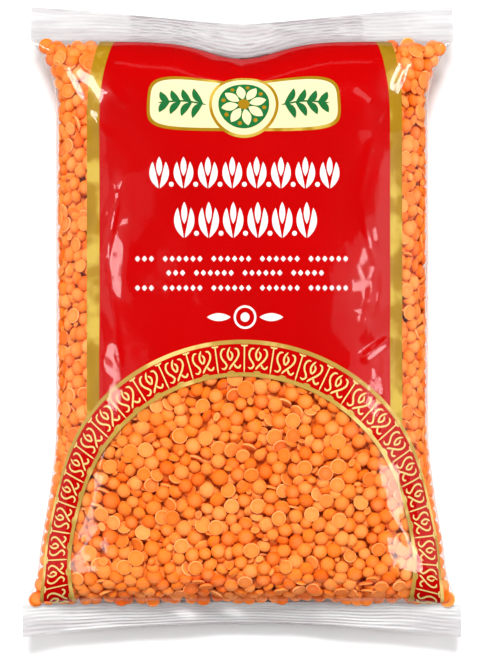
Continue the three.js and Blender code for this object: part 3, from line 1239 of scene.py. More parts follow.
@dataclass
class Frieze:
    """The white ornament under the emblem: two rows of sprouts, three lines of beads and a small ring."""

    printer: Printer
    middle: float = 1.0
    rows: tuple[SproutRow, ...] = (
        SproutRow(-31.5, 33.1, 47.5, 10.2, 8),
        SproutRow(-23.2, 25.5, 32.4, 11.6, 6),
    )
    stop: float = 0.8
    bead_lines: tuple[Pair, ...] = ((36.8, 20.1), (27.0, 15.6), (37.8, 10.8))
    bead: Pair = (0.85, 0.95)
    bead_pitch: float = 2.3
    bead_group: int = 7
    bead_gap: int = 3
    ring_level: float = 1.5
    ring: float = 3.4
    eye: float = 1.5
    side_leaf: Pair = (4.8, 12.6)

    def sprout(self, x: float, y: float, width: float, height: float) -> list[Surface]:
        """Two leaves that open from one foot, with a third upright between their tips."""
        foot = y - height * 0.48
        tip = y + height * 0.34
        leaves = [self.printer.leaf((x + side * width * 0.03, foot), (x + side * width * 0.27, tip),
                                    width * 0.135, FIGURE, bend=0.1 * side) for side in (-1, 1)]
        middle = self.printer.leaf((x, y - height * 0.1), (x, y + height * 0.5), width * 0.12, FIGURE)
        return [*leaves, middle]

    def sprouts(self, row: SproutRow) -> list[Surface]:
        """A row of sprouts with a small disc between each two."""
        pitch = (row.right - row.left) / row.count
        shapes = []
        for k in range(row.count):
            x = row.left + pitch * (k + 0.5)
            shapes += self.sprout(x, row.level, pitch, row.height)
            if k:
                spot = (x - pitch / 2, row.level - row.height * 0.36)
                shapes.append(self.printer.oval(spot, (self.stop, self.stop), FIGURE, samples=9, columns=5))
        return shapes

    def beads(self, half: float, level: float) -> list[Surface]:
        """A line of small rhombs with a gap of a bead after each few."""
        count = int(2 * half / self.bead_pitch)
        left = self.middle - (count - 1) / 2 * self.bead_pitch
        return [self.printer.oval((left + k * self.bead_pitch, level), self.bead, FIGURE, 1.1, 7, 5)
                for k in range(count) if k % self.bead_group != self.bead_gap]

    def build(self, white: Ink) -> None:
        """Makes the white figures as one piece."""
        shapes = [shape for row in self.rows for shape in self.sprouts(row)]
        for half, level in self.bead_lines:
            shapes += self.beads(half, level)
        centre = (self.middle, self.ring_level)
        shapes.append(self.printer.ring(centre, self.ring, 0.36, FIGURE))
        shapes.append(self.printer.oval(centre, (self.eye, self.eye), FIGURE))
        for side in (-1, 1):
            foot, tip = ((self.middle + side * reach, self.ring_level) for reach in self.side_leaf)
            shapes.append(self.printer.leaf(foot, tip, 1.25, FIGURE))
        make_piece("white_frieze", Surface.join(shapes), white.material(), Slot.WHITE)


@dataclass
class BackPrint:
    """The back, which the photo hides: the same red field and gold stripes, and a bare cream box."""

    printer: Printer
    red_half: float = 45.0
    stripe: float = 4.4
    end: float = 88.0
    rows: int = 110
    box_centre: Pair = (-27.0, -30.0)
    box_half: Pair = (13.5, 24.0)
    rule_half: float = 0.15
    rule_inset: float = 1.5
    rule_pitch: float = 5.0

    def upright(self, sides: Pair, ends: Pair, columns: int, rows: int, layer: Layer) -> Surface:
        """A field between straight lines."""
        across, along = np.linspace(*sides, columns)[None, :], np.linspace(*ends, rows)[:, None]
        return self.printer.sheet(across, along, layer)

    def build(self, red: Ink, gold: Ink, cream: Ink) -> None:
        """Makes the field, the stripes, and the box with its ruled lines."""
        ends, outer = (-self.end, self.end), self.red_half + self.stripe
        back_field = self.upright((-self.red_half, self.red_half), ends, 60, self.rows, GROUND)
        make_piece("back_red", back_field, red.material(), Slot.RED)
        parts = [self.upright(sides, ends, 6, self.rows, BORDER)
                 for sides in ((-outer, -self.red_half), (self.red_half, outer))]
        (cx, cy), (hx, hy) = self.box_centre, self.box_half
        rule = (cx - hx + self.rule_inset, cx + hx - self.rule_inset)
        parts += [self.upright(rule, (y - self.rule_half, y + self.rule_half), 8, 2, DETAIL)
                  for y in np.arange(cy - hy + 4, cy + hy - 3, self.rule_pitch)]
        make_piece("back_gold", Surface.join(parts), gold.material(), Slot.GOLD)
        box = self.printer.oval(self.box_centre, self.box_half, FIGURE, 8, 30, 12)
        make_piece("back_box", box, cream.material(), Slot.CREAM)


# Lentils

@dataclass(frozen=True)
class LentilShape:
    """One kind of lentil as a body turned about its axis, in shares of its radius.

    The profile is a list of rings, each a share of the radius, a height and a mark from 0 to 1 for
    how strong the painted highlight, a paler flesh colour, is there. The first and the last ring are points
    on the axis.
    """

    kind: LentilKind
    radius: float
    half_thickness: float
    profile: tuple[tuple[float, float, float], ...]
    share: float
    sides: int = 12

    def body(self) -> Surface:
        """The lentil with unit radius and unit half thickness, its axis up."""
        rings = np.array(self.profile[1:-1])
        (_, low, low_mark), (_, high, high_mark) = self.profile[0], self.profile[-1]
        turn = np.arange(self.sides) * 2 * np.pi / self.sides
        radius, level = rings[:, None, 0], rings[:, None, 1]
        around = [radius * np.cos(turn), radius * np.sin(turn), level * np.ones(self.sides)]
        points = np.concatenate([np.stack(around, -1).reshape(-1, 3), [(0, 0, low), (0, 0, high)]])
        count = len(rings) * self.sides
        first, following = np.arange(self.sides), (np.arange(self.sides) + 1) % self.sides
        last = count - self.sides
        fans = [np.stack([following, first, np.full(self.sides, count)], -1),
                np.stack([last + first, last + following, np.full(self.sides, count + 1)], -1)]
        # The marks of painted highlight, ring by ring.
        pale = np.concatenate([np.repeat(rings[:, 2], self.sides), [low_mark, high_mark]])
        quads = grid_quads(len(rings), self.sides, closed=True)
        return Surface(points, quads, np.concatenate(fans), {"rim": pale})


# Split halves, from the middle of the flat side over the pale rim to the top of the dome. Each has
# its rings where it shows: the first round its flat side, the second over its dome. Their marks are
# painted highlight: a pale middle and rim on the flat side, a pale top on the dome, pale poles on whole
# lentils.
FLAT_PROFILE = ((0, -0.56, 0.3), (0.6, -0.64, 0.15), (0.84, -0.68, 0.05), (0.93, -0.6, 0.85),
                (0.99, -0.35, 0.55), (0.9, 0.35, 0), (0, 1, 0))
DOME_PROFILE = ((0, -0.62, 0.1), (0.95, -0.6, 0.4), (0.99, -0.25, 0.2), (0.92, 0.25, 0),
                (0.74, 0.64, 0.08), (0.4, 0.91, 0.26), (0, 1, 0.34))
ROUND_PROFILE = ((0, -1, 0.3), (0.46, -0.88, 0.2), (0.82, -0.56, 0.05), (0.985, 0, 0),
                 (0.82, 0.56, 0.05), (0.46, 0.88, 0.2), (0, 1, 0.3))
SHAPES = (
    LentilShape(LentilKind.FLAT_OUT, 2.55, 0.85, FLAT_PROFILE, 0.22),
    LentilShape(LentilKind.DOME_OUT, 2.55, 1.15, DOME_PROFILE, 0.5),
    LentilShape(LentilKind.WHOLE, 2.45, 1.4, ROUND_PROFILE, 0.25),
    LentilShape(LentilKind.CHIP, 1.5, 0.6, DOME_PROFILE, 0.03, 9),
)


@dataclass
class Placement:
    """Where the lentils of a packing lie."""

    shape: Array
    centre: Array
    axes: Array
    radius: Array
    thickness: Array

    def apart_from(self, others: "Placement", gap: float) -> "Placement":
        """Those of the lentils whose centres are farther than a gap from the centres of all the others."""
        far = np.linalg.norm(self.centre[:, None] - others.centre[None], axis=-1).min(axis=1) > gap
        return Placement(*(getattr(self, part.name)[far] for part in fields(self)))


@dataclass
class Stencil:
    """One kind of lentil at one tilt, as seen from the film: its near and far depth over a small grid."""

    shape: int
    radius: float
    thickness: float
    axis: Array
    extent: float
    near: Array
    far: Array


@dataclass
class LentilBed:
    """Lentils packed against one sheet of the film, from outside in.

    The film is laid flat as a fine grid of cells. Each lentil is drawn at random many times over, and
    the draw that comes to rest nearest to the film is kept, as if the lentils fell onto it.
    """

    form: BagForm
    face: Face
    visible: Array
    across: Array
    along: Array
    cell: float = 0.25
    clearance: float = 0.36
    reach: int = 11
    store_size: int = 260
    kinds_drawn: int = 2
    draws: int = 180
    most_misses: int = 25
    deepest: float = 4.3
    least_room: float = 2.2
    room_margin: float = 1.2
    corner_length: float = 13.0
    corner_across: float = 0.965
    covered: float = 0.3
    snugness: float = 1.1
    luck: float = 0.4
    overlap: Pair = (0.87, 0.72)
    size_spread: float = 0.06
    thickness_spread: float = 0.05
    lying_share: float = 0.84
    lying_tilt: float = 0.28
    steep_tilt: Pair = (0.3, 1.3)
    round_sides: Pair = (0.9, 78.0)
    last_normal: float = 0.995
    curve_span: int = 4
    most_curve: float = 0.16

    def stencils(self, rng: np.random.Generator) -> list[Stencil]:
        """A store of lentils at random sizes and tilts.

        Each is taken as an oblate spheroid. With M its form matrix, the depths at an offset p solve
        M33 z squared + 2 q z + (p M p - 1) = 0, where q is p times the mixed terms of M.

        Args:
            rng: The source of random numbers.

        Returns:
            The stencils.
        """
        offsets = np.arange(-self.reach, self.reach + 1) * self.cell
        dx, dy = np.meshgrid(offsets, offsets, indexing="ij")
        chances = np.array([shape.share for shape in SHAPES])
        store = []
        for _ in range(self.store_size):
            number = int(rng.choice(len(SHAPES), p=chances / chances.sum()))
            size = rng.normal(1, self.size_spread)
            radius = SHAPES[number].radius * size
            thickness = SHAPES[number].half_thickness * size * rng.normal(1, self.thickness_spread)
            lying = rng.random() < self.lying_share
            tilt = abs(rng.normal(0, self.lying_tilt)) if lying else rng.uniform(*self.steep_tilt)
            turn = rng.uniform(0, 2 * np.pi)
            level = math.sin(tilt)
            axis = np.array([level * math.cos(turn), level * math.sin(turn), math.cos(tilt)])
            wide, high = radius * self.overlap[0], thickness * self.overlap[1]
            m = np.eye(3) / wide**2 + (1 / high**2 - 1 / wide**2) * np.outer(axis, axis)
            p = m[0, 0] * dx**2 + 2 * m[0, 1] * dx * dy + m[1, 1] * dy**2 - 1
            q = m[0, 2] * dx + m[1, 2] * dy
            root = q**2 - m[2, 2] * p
            inside = root > 0
            depth = np.sqrt(np.where(inside, root, 0))
            near = np.where(inside, (-q - depth) / m[2, 2], np.inf)
            far = np.where(inside, (-q + depth) / m[2, 2], -np.inf)
            extent = math.hypot(radius * math.sin(tilt), thickness * math.cos(tilt))
            store.append(Stencil(number, radius, thickness, axis, extent, near, far))
        return store

    def pack(self, rng: np.random.Generator, most: int) -> Placement:
        """Packs the bed until it is full or enough draws in a row have found no place.

        A draw's score is how deep its nearest point lies, less a bonus where its neighbours have
        already covered the film, and a little luck. Draws that would lie too deep are ruled out.

        Args:
            rng: The source of random numbers.
            most: The largest number of lentils.

        Returns:
            The lentils' places.
        """
        store = self.stencils(rng)
        near = np.stack([stencil.near for stencil in store])
        far = np.stack([stencil.far for stencil in store])
        extents = np.array([stencil.extent for stencil in store])
        room = self.room()
        rows, columns = self.visible.shape
        bed = np.zeros((rows + 2 * self.reach, columns + 2 * self.reach))
        near_seal = self.form.inside(self.along) <= self.corner_length
        corner = near_seal & (np.abs(self.across) >= self.corner_across)
        spots = np.argwhere(self.visible & (room > self.least_room) & ~corner)
        window = np.arange(2 * self.reach + 1)
        kept: list[tuple[int, int, int, float]] = []
        misses = 0
        while len(kept) < most and misses < self.most_misses:
            pick = spots[rng.integers(len(spots), size=self.kinds_drawn * self.draws)]
            which = np.repeat(rng.integers(len(store), size=self.kinds_drawn), self.draws)
            patch = bed[pick[:, 0, None, None] + window[:, None], pick[:, 1, None, None] + window[None, :]]
            rest = np.maximum(np.max(patch - near[which], axis=(1, 2)), self.clearance + extents[which])
            limit = np.minimum(self.deepest, room[pick[:, 0], pick[:, 1]] - self.room_margin)
            filled = np.mean(patch > self.clearance + self.covered, axis=(1, 2))
            score = rest - extents[which] - self.snugness * filled
            score = score + rng.uniform(0, self.luck, len(which))
            score[rest > limit] = np.inf
            best = int(np.argmin(score))
            if np.isinf(score[best]):
                misses += 1
                continue
            i, j = pick[best]
            target = bed[i:i + window.size, j:j + window.size]
            np.maximum(target, rest[best] + far[which[best]], out=target)
            kept.append((int(i), int(j), int(which[best]), float(rest[best])))
        return self.placement(kept, store)

    def room(self) -> Array:
        """How thick the bag is behind each cell. Behind the round sides there is room enough."""
        across = fold_over(self.across)
        front, back = (self.form.place(face, across, self.along)[..., 2] for face in Face)
        beside = (np.abs(self.across) > self.round_sides[0]) & (np.abs(self.along) < self.round_sides[1])
        return np.where(beside, self.form.film_half, front - back)

    def points(self) -> tuple[Array, Array]:
        """The film's points and outward normals at the cells, on past the side line."""
        form, along, over = self.form, self.along, (np.abs(self.across) > 1)[..., None]
        across = fold_over(self.across)
        near_side = np.clip(across, -self.last_normal, self.last_normal)
        here, there = ((form.place(face, across, along), form.normal(face, near_side, along))
                       for face in (self.face, self.face.other))
        return np.where(over, there[0], here[0]), np.where(over, there[1], here[1])

    def placement(self, kept: Sequence[tuple[int, int, int, float]], store: Sequence[Stencil]) -> Placement:
        """Turns cells and depths into places in the bag.

        The lentil's axes are built on the film's own at its cell. Where the film curves, the lentil is
        pushed inwards by half the curvature times the square of its reach, so that it stays inside.
        """
        i, j, which = np.array([row[:3] for row in kept]).T
        depth = np.array([row[3] for row in kept])
        points, normals = self.points()
        rows, columns = points.shape[:2]
        span = self.curve_span
        i0, i1 = np.maximum(i - span, 0), np.minimum(i + span, rows - 1)
        j0, j1 = np.maximum(j - span, 0), np.minimum(j + span, columns - 1)
        out = normals[i, j]
        side = unit(points[i, j1] - points[i, j0])
        side = unit(side - out * np.sum(side * out, -1, keepdims=True))
        up = np.cross(out, side) * (1 if self.face is Face.FRONT else -1)
        curve = np.zeros(len(kept))
        for first, second in (((i, j0), (i, j1)), ((i0, j), (i1, j))):
            gap = np.linalg.norm(points[second] - points[first], axis=-1)
            bend = np.linalg.norm(normals[second] - normals[first], axis=-1) / np.maximum(gap, 0.3)
            curve = np.maximum(curve, np.minimum(bend, self.most_curve))
        axis = np.stack([store[w].axis for w in which])
        shape, radius, thickness = (np.array([getattr(store[w], name) for w in which])
                                    for name in ("shape", "radius", "thickness"))
        depth = depth + 0.5 * curve * (radius * axis[:, 2]) ** 2
        world = side * axis[:, 1, None] + up * axis[:, 0, None] - out * axis[:, 2, None]
        return Placement(shape, points[i, j] - out * depth[:, None], unit(world), radius, thickness)


@dataclass
class Lentils:
    """All the lentils that show, one piece for each kind, over a core whose darker flesh colour is painted
    shade.
    """

    form: BagForm
    panel: PrintedPanel
    band: ArchBand
    back: BackPrint
    margin: float = 2.2
    steps: int = 1500
    end_gap: float = 0.8
    length_line: float = 0.35
    rim_pitch: float = 3.8
    rim_gap: float = 0.1
    rim_upper: float = -34.0
    rim_corner: float = 74.0
    corner_gap: float = 3.5
    print_gap: float = 1.5
    seal_row_half: float = 62.0
    seal_overlap: float = 0.6
    seal_rise: float = 1.1
    side_stray: Triple = (0.1, 0.4, 0.15)
    seal_stray: Triple = (0.8, 0.4, 0.15)
    rim_shares: Triple = (0.35, 0.5, 0.15)
    rim_flatness: float = 0.9
    rim_tilt: float = 0.16
    squeeze: Pair = (0.93, 1.0)
    broken: Pair = (0.62, 0.9)
    tint_spread: float = 0.27
    # How strong each lentil's painted highlight is, at random between these.
    rim_highlight_strength: Pair = (0.25, 1.0)
    core_depth: float = 3.7
    core_across: float = 0.95
    core_end: float = 4.0
    core_fade: Pair = (0.12, 6.0)
    core_shrink: Triple = (0.955, 0.985, 1.0)

    @staticmethod
    def even(line: Array, values: Array) -> Array:
        """The values at steps of one cell along a line of points that they belong to."""
        run = np.concatenate([[0], np.cumsum(np.linalg.norm(np.diff(line, axis=0), axis=1))])
        return np.interp(np.arange(0, run[-1], LentilBed.cell), run, values)

    def bed(self, face: Face, reach: float) -> LentilBed:
        """Lays one sheet out flat, in square cells.

        Args:
            face: The sheet.
            reach: How far it goes across on both sides. Past 1 it goes on round the side line.

        Returns:
            The bed, with its visible cells marked.
        """
        form = self.form
        fine = np.linspace(form.bottom_seal + self.end_gap, form.top_seal - self.end_gap, self.steps)
        along = self.even(form.place(face, np.full(self.steps, self.length_line), fine), fine)
        wide, middle = np.linspace(-reach, reach, self.steps), np.zeros(self.steps)
        folded, over = fold_over(wide), (np.abs(wide) > 1)[:, None]
        ring = np.where(over, form.place(face.other, folded, middle), form.place(face, folded, middle))
        grid_across, grid_along = np.meshgrid(self.even(ring, wide), along)
        return LentilBed(form, face, self.visible(face, grid_across, grid_along), grid_across, grid_along)

    def visible(self, face: Face, across: Array, along: Array) -> Array:
        """True where a lentil could be seen, past the edges of the print by a margin."""
        u = across * self.form.film_half
        if face is Face.BACK:
            return np.abs(u) > self.back.red_half + self.back.stripe - self.margin
        from_centre = np.hypot(u, along - ARCH_CENTRE)
        window = from_centre < self.band.inner + self.margin
        beside = np.abs(u - self.panel.middle) > self.panel.gold_half - self.margin
        return window | (beside & (from_centre > ARCH_RADIUS - self.margin))

    def bodies(self, kind_number: int, beds: Sequence[Placement], rng: np.random.Generator) -> Surface:
        """All the lentils of one kind as one surface.

        Each is the kind's unit body, stretched a little out of round, turned to its axis and moved to
        its place. A flat side out means that the body's axis points into the bag.
        """
        shape = SHAPES[kind_number]
        unit_body = shape.body()
        centre, axis, radius, thickness = (
            np.concatenate([getattr(bed, name)[bed.shape == kind_number] for bed in beds])
            for name in ("centre", "axes", "radius", "thickness"))
        count = len(centre)
        either = np.where(rng.random(count) < 0.5, 1, -1)
        facing = {LentilKind.FLAT_OUT: np.ones(count), LentilKind.DOME_OUT: -np.ones(count)}
        axis = axis * facing.get(shape.kind, either)[:, None]
        aside = unit(np.cross(axis, rng.normal(size=(count, 3))))
        third = np.cross(axis, aside)
        narrow = radius * rng.uniform(*self.squeeze, count)
        if shape.kind is LentilKind.CHIP:
            narrow = narrow * rng.uniform(*self.broken, count)
        local = unit_body.points[None] * np.stack([radius, narrow, thickness], -1)[:, None, :]
        ways = (aside, third, axis)
        spots = centre[:, None] + sum(local[..., k, None] * way[:, None] for k, way in enumerate(ways))
        size = len(unit_body.points)
        starts = np.arange(count)[:, None, None] * size
        tint = np.clip(rng.normal(0.5, self.tint_spread, count), 0, 1)
        # Each lentil's painted highlight, at a random strength.
        pale = unit_body.marks["rim"] * rng.uniform(*self.rim_highlight_strength, count)[:, None]
        return Surface(spots.reshape(-1, 3), (unit_body.quads[None] + starts).reshape(-1, 4),
                       (unit_body.triangles[None] + starts).reshape(-1, 3),
                       {"tint": np.repeat(tint, size), "rim": pale.ravel()})

    def rim_lines(self) -> tuple[Array, Array, Array]:
        """Even steps along the lines where the bag is narrow, as places on the film with the way inwards.

        They are the two side lines, from the bottom seal up to where the sides are round and again in
        the top corners, the whole of the bottom seal, and the top seal beside the print.

        Returns:
            The places, level directions that point into the bag, and how far lentils stray from there.
        """
        form = self.form
        low = np.arange(form.bottom_seal + self.corner_gap, self.rim_upper, self.rim_pitch)
        high = np.arange(form.top_seal - self.corner_gap, self.rim_corner, -self.rim_pitch)
        along = np.tile(np.concatenate([low, high]), 2)
        side = np.repeat([-1.0, 1.0], len(along) // 2)
        beside = np.arange(self.panel.gold_half + self.print_gap, self.seal_row_half, self.rim_pitch)
        under = np.arange(-self.seal_row_half, self.seal_row_half, self.rim_pitch)
        u = np.concatenate([beside, -beside, under])
        seal = np.repeat([form.top_seal, form.bottom_seal], [2 * len(beside), len(under)])
        sides = form.place(Face.FRONT, side, along) - (0, 0, form.half_gap)
        seals = form.place(Face.FRONT, u / form.film_half, seal) + (0, 0, self.seal_rise)
        seals[:, 1] += np.sign(seal) * self.seal_overlap
        onward = unit(form.place(Face.FRONT, side, along + 0.5) - form.place(Face.FRONT, side, along - 0.5))
        level, straight = np.cross((0, 0, 1), onward) * side[:, None], -np.sign(seal)[:, None] * (0, 1, 0)
        stray = np.repeat([self.side_stray, self.seal_stray], [len(sides), len(seals)], axis=0)
        return np.concatenate([sides, seals]), np.concatenate([level, straight]), stray

    def rim_row(self, rng: np.random.Generator) -> Placement:
        """Lentils that lie flat along the rim lines, and touch the film there with their own rims."""
        line, inwards, stray = self.rim_lines()
        count = len(line)
        shape = rng.choice(len(self.rim_shares), count, p=self.rim_shares)
        size = rng.normal(1, 0.05, count)
        radius = np.array([kind.radius for kind in SHAPES])[shape] * size
        thickness = np.array([kind.half_thickness for kind in SHAPES])[shape] * size * self.rim_flatness
        centre = line + inwards * (radius + self.rim_gap)[:, None] + rng.normal(0, 1, (count, 3)) * stray
        axes = unit(rng.normal(0, self.rim_tilt, (count, 3)) - (0, 0, 1))
        return Placement(shape, centre, axes, radius, thickness)

    def core(self) -> Surface:
        """The mass of lentils behind those that show, darker as painted shade: the bag's form drawn in by a
        few millimetres.

        It closes to a thin edge all round, by smooth steps.
        """
        end = self.form.top_seal - self.core_end
        across = np.linspace(-self.core_across, self.core_across, 57)[None, :]
        along = np.linspace(self.form.bottom_seal + self.core_end, end, 81)[:, None]
        front, back = (self.form.place(face, across, along) for face in Face)
        middle, half = (front + back) / 2, (front - back) / 2
        half[..., 2] = np.maximum(0.02, half[..., 2] - self.core_depth)
        border = np.minimum(smooth_step((self.core_across - np.abs(across)) / self.core_fade[0]),
                            smooth_step((end - np.abs(along)) / self.core_fade[1]))
        half = half * np.maximum(border, 0.001)[..., None]
        both = slab((middle + half) * self.core_shrink, (middle - half) * self.core_shrink)
        both.marks = {"tint": np.zeros(len(both.points)), "rim": np.zeros(len(both.points))}
        return both

    def build(self, flesh: LentilFlesh, dark: LentilFlesh) -> None:
        """Packs both sheets and makes the pieces."""
        rng = np.random.default_rng(SEED)
        rim = self.rim_row(rng)
        front = self.bed(Face.FRONT, 1.05).pack(rng, 2800)
        rear = self.bed(Face.BACK, 0.97).pack(rng, 900)
        counts = [len(bed.shape) for bed in (front, rear, rim)]
        log.info("lentils packed: front %d, back %d, rims %d", *counts)
        beds = [rim, front.apart_from(rim, 2.6), rear]
        material = flesh.material()
        for number, shape in enumerate(SHAPES):
            make_piece(shape.kind.value, self.bodies(number, beds, rng), material, Slot.LENTILS, 70)
        # The core, whose darker finish is painted shade.
        make_piece("lentil_mass", self.core(), dark.material(), Slot.LENTILS)


# Stage

# Wide far lights, kept out of the reflections: name, angle from straight overhead and direction seen from
# above, anticlockwise from the right, both in degrees, softness in degrees, and strength.
SUNS = (
    ("key", 33, 93, 18, 4.0),
    ("left_fill", 60, 180, 40, 1.85),
    ("right_fill", 60, 0, 40, 1.85),
    ("low_fill", 52, -90, 60, 0.55),
)
# Soft lights that face the bag and that the film mirrors: name, place, width and length, and watts.
PANELS = (
    ("left_strip", (-440, 30, 1000), (50, 240), 0.4),
    ("right_strip", (500, 40, 1000), (45, 300), 0.4),
    ("right_haze", (620, 60, 1000), (220, 900), 0.35),
    ("left_haze", (-560, 0, 1000), (160, 900), 0.12),
    ("left_panel", (-1200, 0, 500), (500, 1600), 1.2),
    ("right_panel", (1200, 0, 500), (500, 1600), 1.7),
    ("right_high_strip", (350, 440, 1000), (380, 170), 0.3),
    ("far_panel", (0, 1300, 420), (700, 140), 0.14),
    ("near_panel", (0, -1200, 520), (900, 160), 0.25),
)
# Long, narrow lights that only the film shows: name, both ends, width and watts.
BARS = (
    ("far_left_bar", (-760, 590, 270), (-620, 340, 700), 170, 4.2),
    ("far_right_bar", (620, 740, 230), (680, 400, 600), 55, 1.7),
    ("near_left_bar", (-700, -330, 620), (-520, -290, 790), 170, 0.9),
    ("near_right_bar", (600, -290, 740), (810, -290, 520), 190, 1.8),
)


@dataclass
class Studio:
    """Floor, soft lights, and the camera that looks straight down on the printed face."""

    pixels_per_mm: float = 3.1
    centre_pixel: Pair = (242.0, 322.0)
    reference_height: float = 17.0
    distance: float = 1500.0
    sensor: float = 36.0
    floor_half: float = 2500.0
    floor_level: float = -0.3
    target: Triple = (0, 0, 20)
    surround: float = 0.02

    def floor(self, finish: PaleFloor) -> None:
        """A large square just under the bag."""
        half, level = self.floor_half * MM, self.floor_level * MM
        mesh = bpy.data.meshes.new("floor")
        corners = [(x * half, y * half, level) for x, y in ((-1, -1), (1, -1), (1, 1), (-1, 1))]
        mesh.from_pydata(corners, [], [(0, 1, 2, 3)])
        mesh.materials.append(finish.material())
        floor = bpy.data.objects.new("floor", mesh)
        floor.visible_glossy = False
        bpy.context.scene.collection.objects.link(floor)

    @staticmethod
    def lamp(name: str, kind: str, power: float, place: Vector, turn: Euler) -> bpy.types.Object:
        """Puts a light into the scene.

        Args:
            name: The light's name.
            kind: AREA or SUN.
            power: Its power in watts, or a sun's strength.
            place: Its middle, in millimetres.
            turn: Its rotation.

        Returns:
            The light's object.
        """
        lamp = bpy.data.lights.new(name, kind)
        lamp.energy = power
        holder = bpy.data.objects.new(name, lamp)
        holder.location = place * MM
        holder.rotation_euler = turn
        bpy.context.scene.collection.objects.link(holder)
        return holder

    def panel(self, name: str, place: Triple, size: Pair, power: float,
              turn: Euler | None = None) -> bpy.types.Object:
        """A rectangular soft light, which faces the bag unless it is turned otherwise."""
        turn = turn or (Vector(self.target) - Vector(place)).to_track_quat("-Z", "Y").to_euler()
        holder = self.lamp(name, "AREA", power, Vector(place), turn)
        holder.data.shape = "RECTANGLE"
        holder.data.size, holder.data.size_y = (side * MM for side in size)
        return holder

    def bar(self, name: str, start: Triple, end: Triple, width: float, power: float) -> None:
        """A long, narrow light from one place to another, turned about its length to face the origin."""
        first, last = Vector(start), Vector(end)
        middle, onward = (first + last) / 2, (last - first).normalized()
        away = (middle - onward * middle.dot(onward)).normalized()
        turn = Matrix((onward.cross(away), onward, away)).transposed().to_euler()
        self.panel(name, middle, (width, (last - first).length), power, turn).visible_diffuse = False

    def sun(self, name: str, off_vertical: float, direction: float, softness: float, strength: float) -> None:
        """A wide far light, which reaches all of the bag alike and is kept out of the reflections."""
        tilt, around = math.radians(off_vertical), math.radians(direction)
        flat = math.sin(tilt)
        towards = Vector((flat * math.cos(around), flat * math.sin(around), math.cos(tilt)))
        turn = (-towards).to_track_quat("-Z", "Y").to_euler()
        holder = self.lamp(name, "SUN", strength, Vector(), turn)
        holder.data.angle = math.radians(softness)
        holder.visible_glossy = False

    def lights(self) -> None:
        """A wide key from above the top seal, fills all round, and narrow strips that the film mirrors."""
        for sun in SUNS:
            self.sun(*sun)
        for panel in PANELS:
            self.panel(*panel)
        for bar in BARS:
            self.bar(*bar)
        world = bpy.data.worlds.new("studio")
        world.use_nodes = True
        background = world.node_tree.nodes["Background"]
        background.inputs["Color"].default_value = (1, 1, 1, 1)
        background.inputs["Strength"].default_value = self.surround
        bpy.context.scene.world = world

    def camera(self) -> None:
        """The camera: its frame is the photo's, at the photo's scale in the plane of the side lines."""
        camera = bpy.data.cameras.new("camera")
        camera.sensor_fit = "VERTICAL"
        camera.sensor_height = self.sensor
        camera.lens = self.sensor * self.distance / (IMAGE_HEIGHT / self.pixels_per_mm)
        camera.clip_end = 20
        x = (IMAGE_WIDTH / 2 - self.centre_pixel[0]) / self.pixels_per_mm
        y = (self.centre_pixel[1] - IMAGE_HEIGHT / 2) / self.pixels_per_mm
        holder = bpy.data.objects.new("camera", camera)
        holder.location = Vector((x, y, self.distance + self.reference_height)) * MM
        bpy.context.scene.collection.objects.link(holder)
        bpy.context.scene.camera = holder

    def build(self) -> None:
        """Sets the stage. Colours are shown as they are, without a film curve."""
        self.camera()
        self.lights()
        self.floor(PaleFloor())
        bpy.context.scene.view_settings.view_transform = "Standard"


CREASES = (
    Crease((-67, 87), (-53, 68), 0.4, 2.2),
    Crease((-53.5, 69), (-43.5, 58), 0.25, 1.6),
    Crease((-63, 89), (-50, 84), 0.25, 1.6),
    Crease((66.5, 90), (52, 71), 0.3, 2.4),
    Crease((60, 88), (48, 84), 0.25, 1.6),
    Crease((-9, 90), (2, 85), 0.35, 1.8),
    Crease((-20, 86), (-6, 87.5), 0.25, 1.8),
    Crease((9, 88), (19, 85), 0.25, 1.8),
    Crease((-45.5, 76), (-38, 68.5), 0.3, 2.4),
    Crease((-66, -88), (-47, -66), 0.22, 2.6),
    Crease((-48, -48), (-42, -34), 0.3, 1.8),
    Crease((66, -88), (47.5, -57), 0.22, 2.6),
    Crease((39.5, -12), (49.5, -5), 0.45, 1.8),
    Crease((43, 58), (39, 40), 0.2, 1.6),
    Crease((39, 40), (44, 18), 0.2, 1.6),
    Crease((44, 18), (40, -6), 0.2, 1.6),
    Crease((-41, 42), (-46, 16), 0.25, 1.6),
    Crease((-44, 12), (-40, -18), 0.2, 1.6),
)
CRUMPLES = (
    Crumple(0.22, 21, 12, 3.2),
    Crumple(0.16, 16, -24, 2.4),
    Crumple(0.12, 27, 78, 2.2),
    Crumple(0.05, 8.3, 41, 1.2),
)

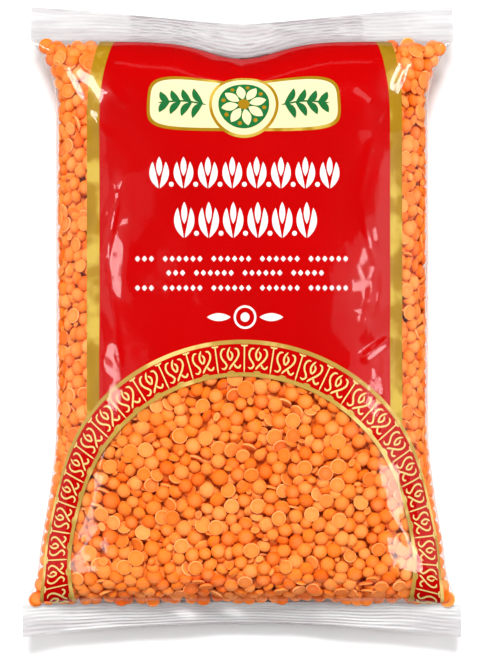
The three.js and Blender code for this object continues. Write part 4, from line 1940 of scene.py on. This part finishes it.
RED = Ink("red_ink", (0.4, 0.0004, 0.0006), cloud=0.03)
# The gold inks' strong clouds and pale patches are painted reflection, standing in for metallic ink.
GOLD = Ink("gold_ink", (0.32, 0.172, 0.007), cloud=0.16, cloud_scale=75, painted_highlight=(0.5, 0.345, 0.05))
ARCH_GOLD = Ink("arch_gold_ink", (0.42, 0.26, 0.05), cloud=0.16, cloud_scale=75, painted_highlight=(0.64, 0.47, 0.15))
CREAM = Ink("cream_ink", (0.68, 0.62, 0.36), cloud=0.02)
PALE_GOLD = Ink("pale_gold_ink", (0.66, 0.51, 0.18), cloud=0.02)
WHITE = Ink("white_ink", (0.68, 0.67, 0.66), cloud=0.02)
GREEN = Ink("green_ink", (0.012, 0.12, 0.03))
# A darker flesh for the mass behind the lentils: painted shade in the gaps between them.
PAINTED_SHADE = (0.62, 0.12, 0.012)


def main() -> None:
    """Builds the bag from its film inwards, and sets the stage."""
    logging.basicConfig(level=logging.INFO, format="%(name)s: %(message)s")
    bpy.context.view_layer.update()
    low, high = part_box(CAD_NODE)
    form = BagForm.around(Vector(low), Vector(high), CREASES, CRUMPLES)
    Studio().build()
    FilmTube(form).build(ClearFilm())
    top_seal = CrimpedSeal(form, "top_seal", form.top_seal, form.top_edge, (-43.5, 46.0), ridge_height=0.34)
    top_seal.build(CrimpedFilm("crimped_film_top", see_through=0.5, shade=0.56))
    bottom_seal = CrimpedSeal(form, "bottom_seal", form.bottom_seal, form.bottom_edge, (-58.0, 55.8),
                              pinches=((-18.0, 0.55), (-2.8, 0.5)))
    bottom_seal.build(CrimpedFilm("crimped_film_bottom", see_through=0.2, shade=0.57))
    BackSeam(form).build(CrimpedFilm("seam_film", see_through=0.6, shade=0.75))
    front, rear = Printer(form), Printer(form, Face.BACK)
    panel = PrintedPanel(front)
    panel.build(RED, GOLD)
    band = ArchBand(front)
    band.build(RED, ARCH_GOLD, PALE_GOLD)
    Emblem(front).build(GOLD, CREAM, GREEN)
    Frieze(front).build(WHITE)
    back = BackPrint(rear)
    back.build(RED, GOLD, CREAM)
    # The mass takes the darker flesh of painted shade all over.
    mass = LentilFlesh("lentil_mass", deep=PAINTED_SHADE, common=PAINTED_SHADE, pale=PAINTED_SHADE)
    Lentils(form, panel, band, back).build(LentilFlesh(), mass)


if __name__ == "__main__":
    main()
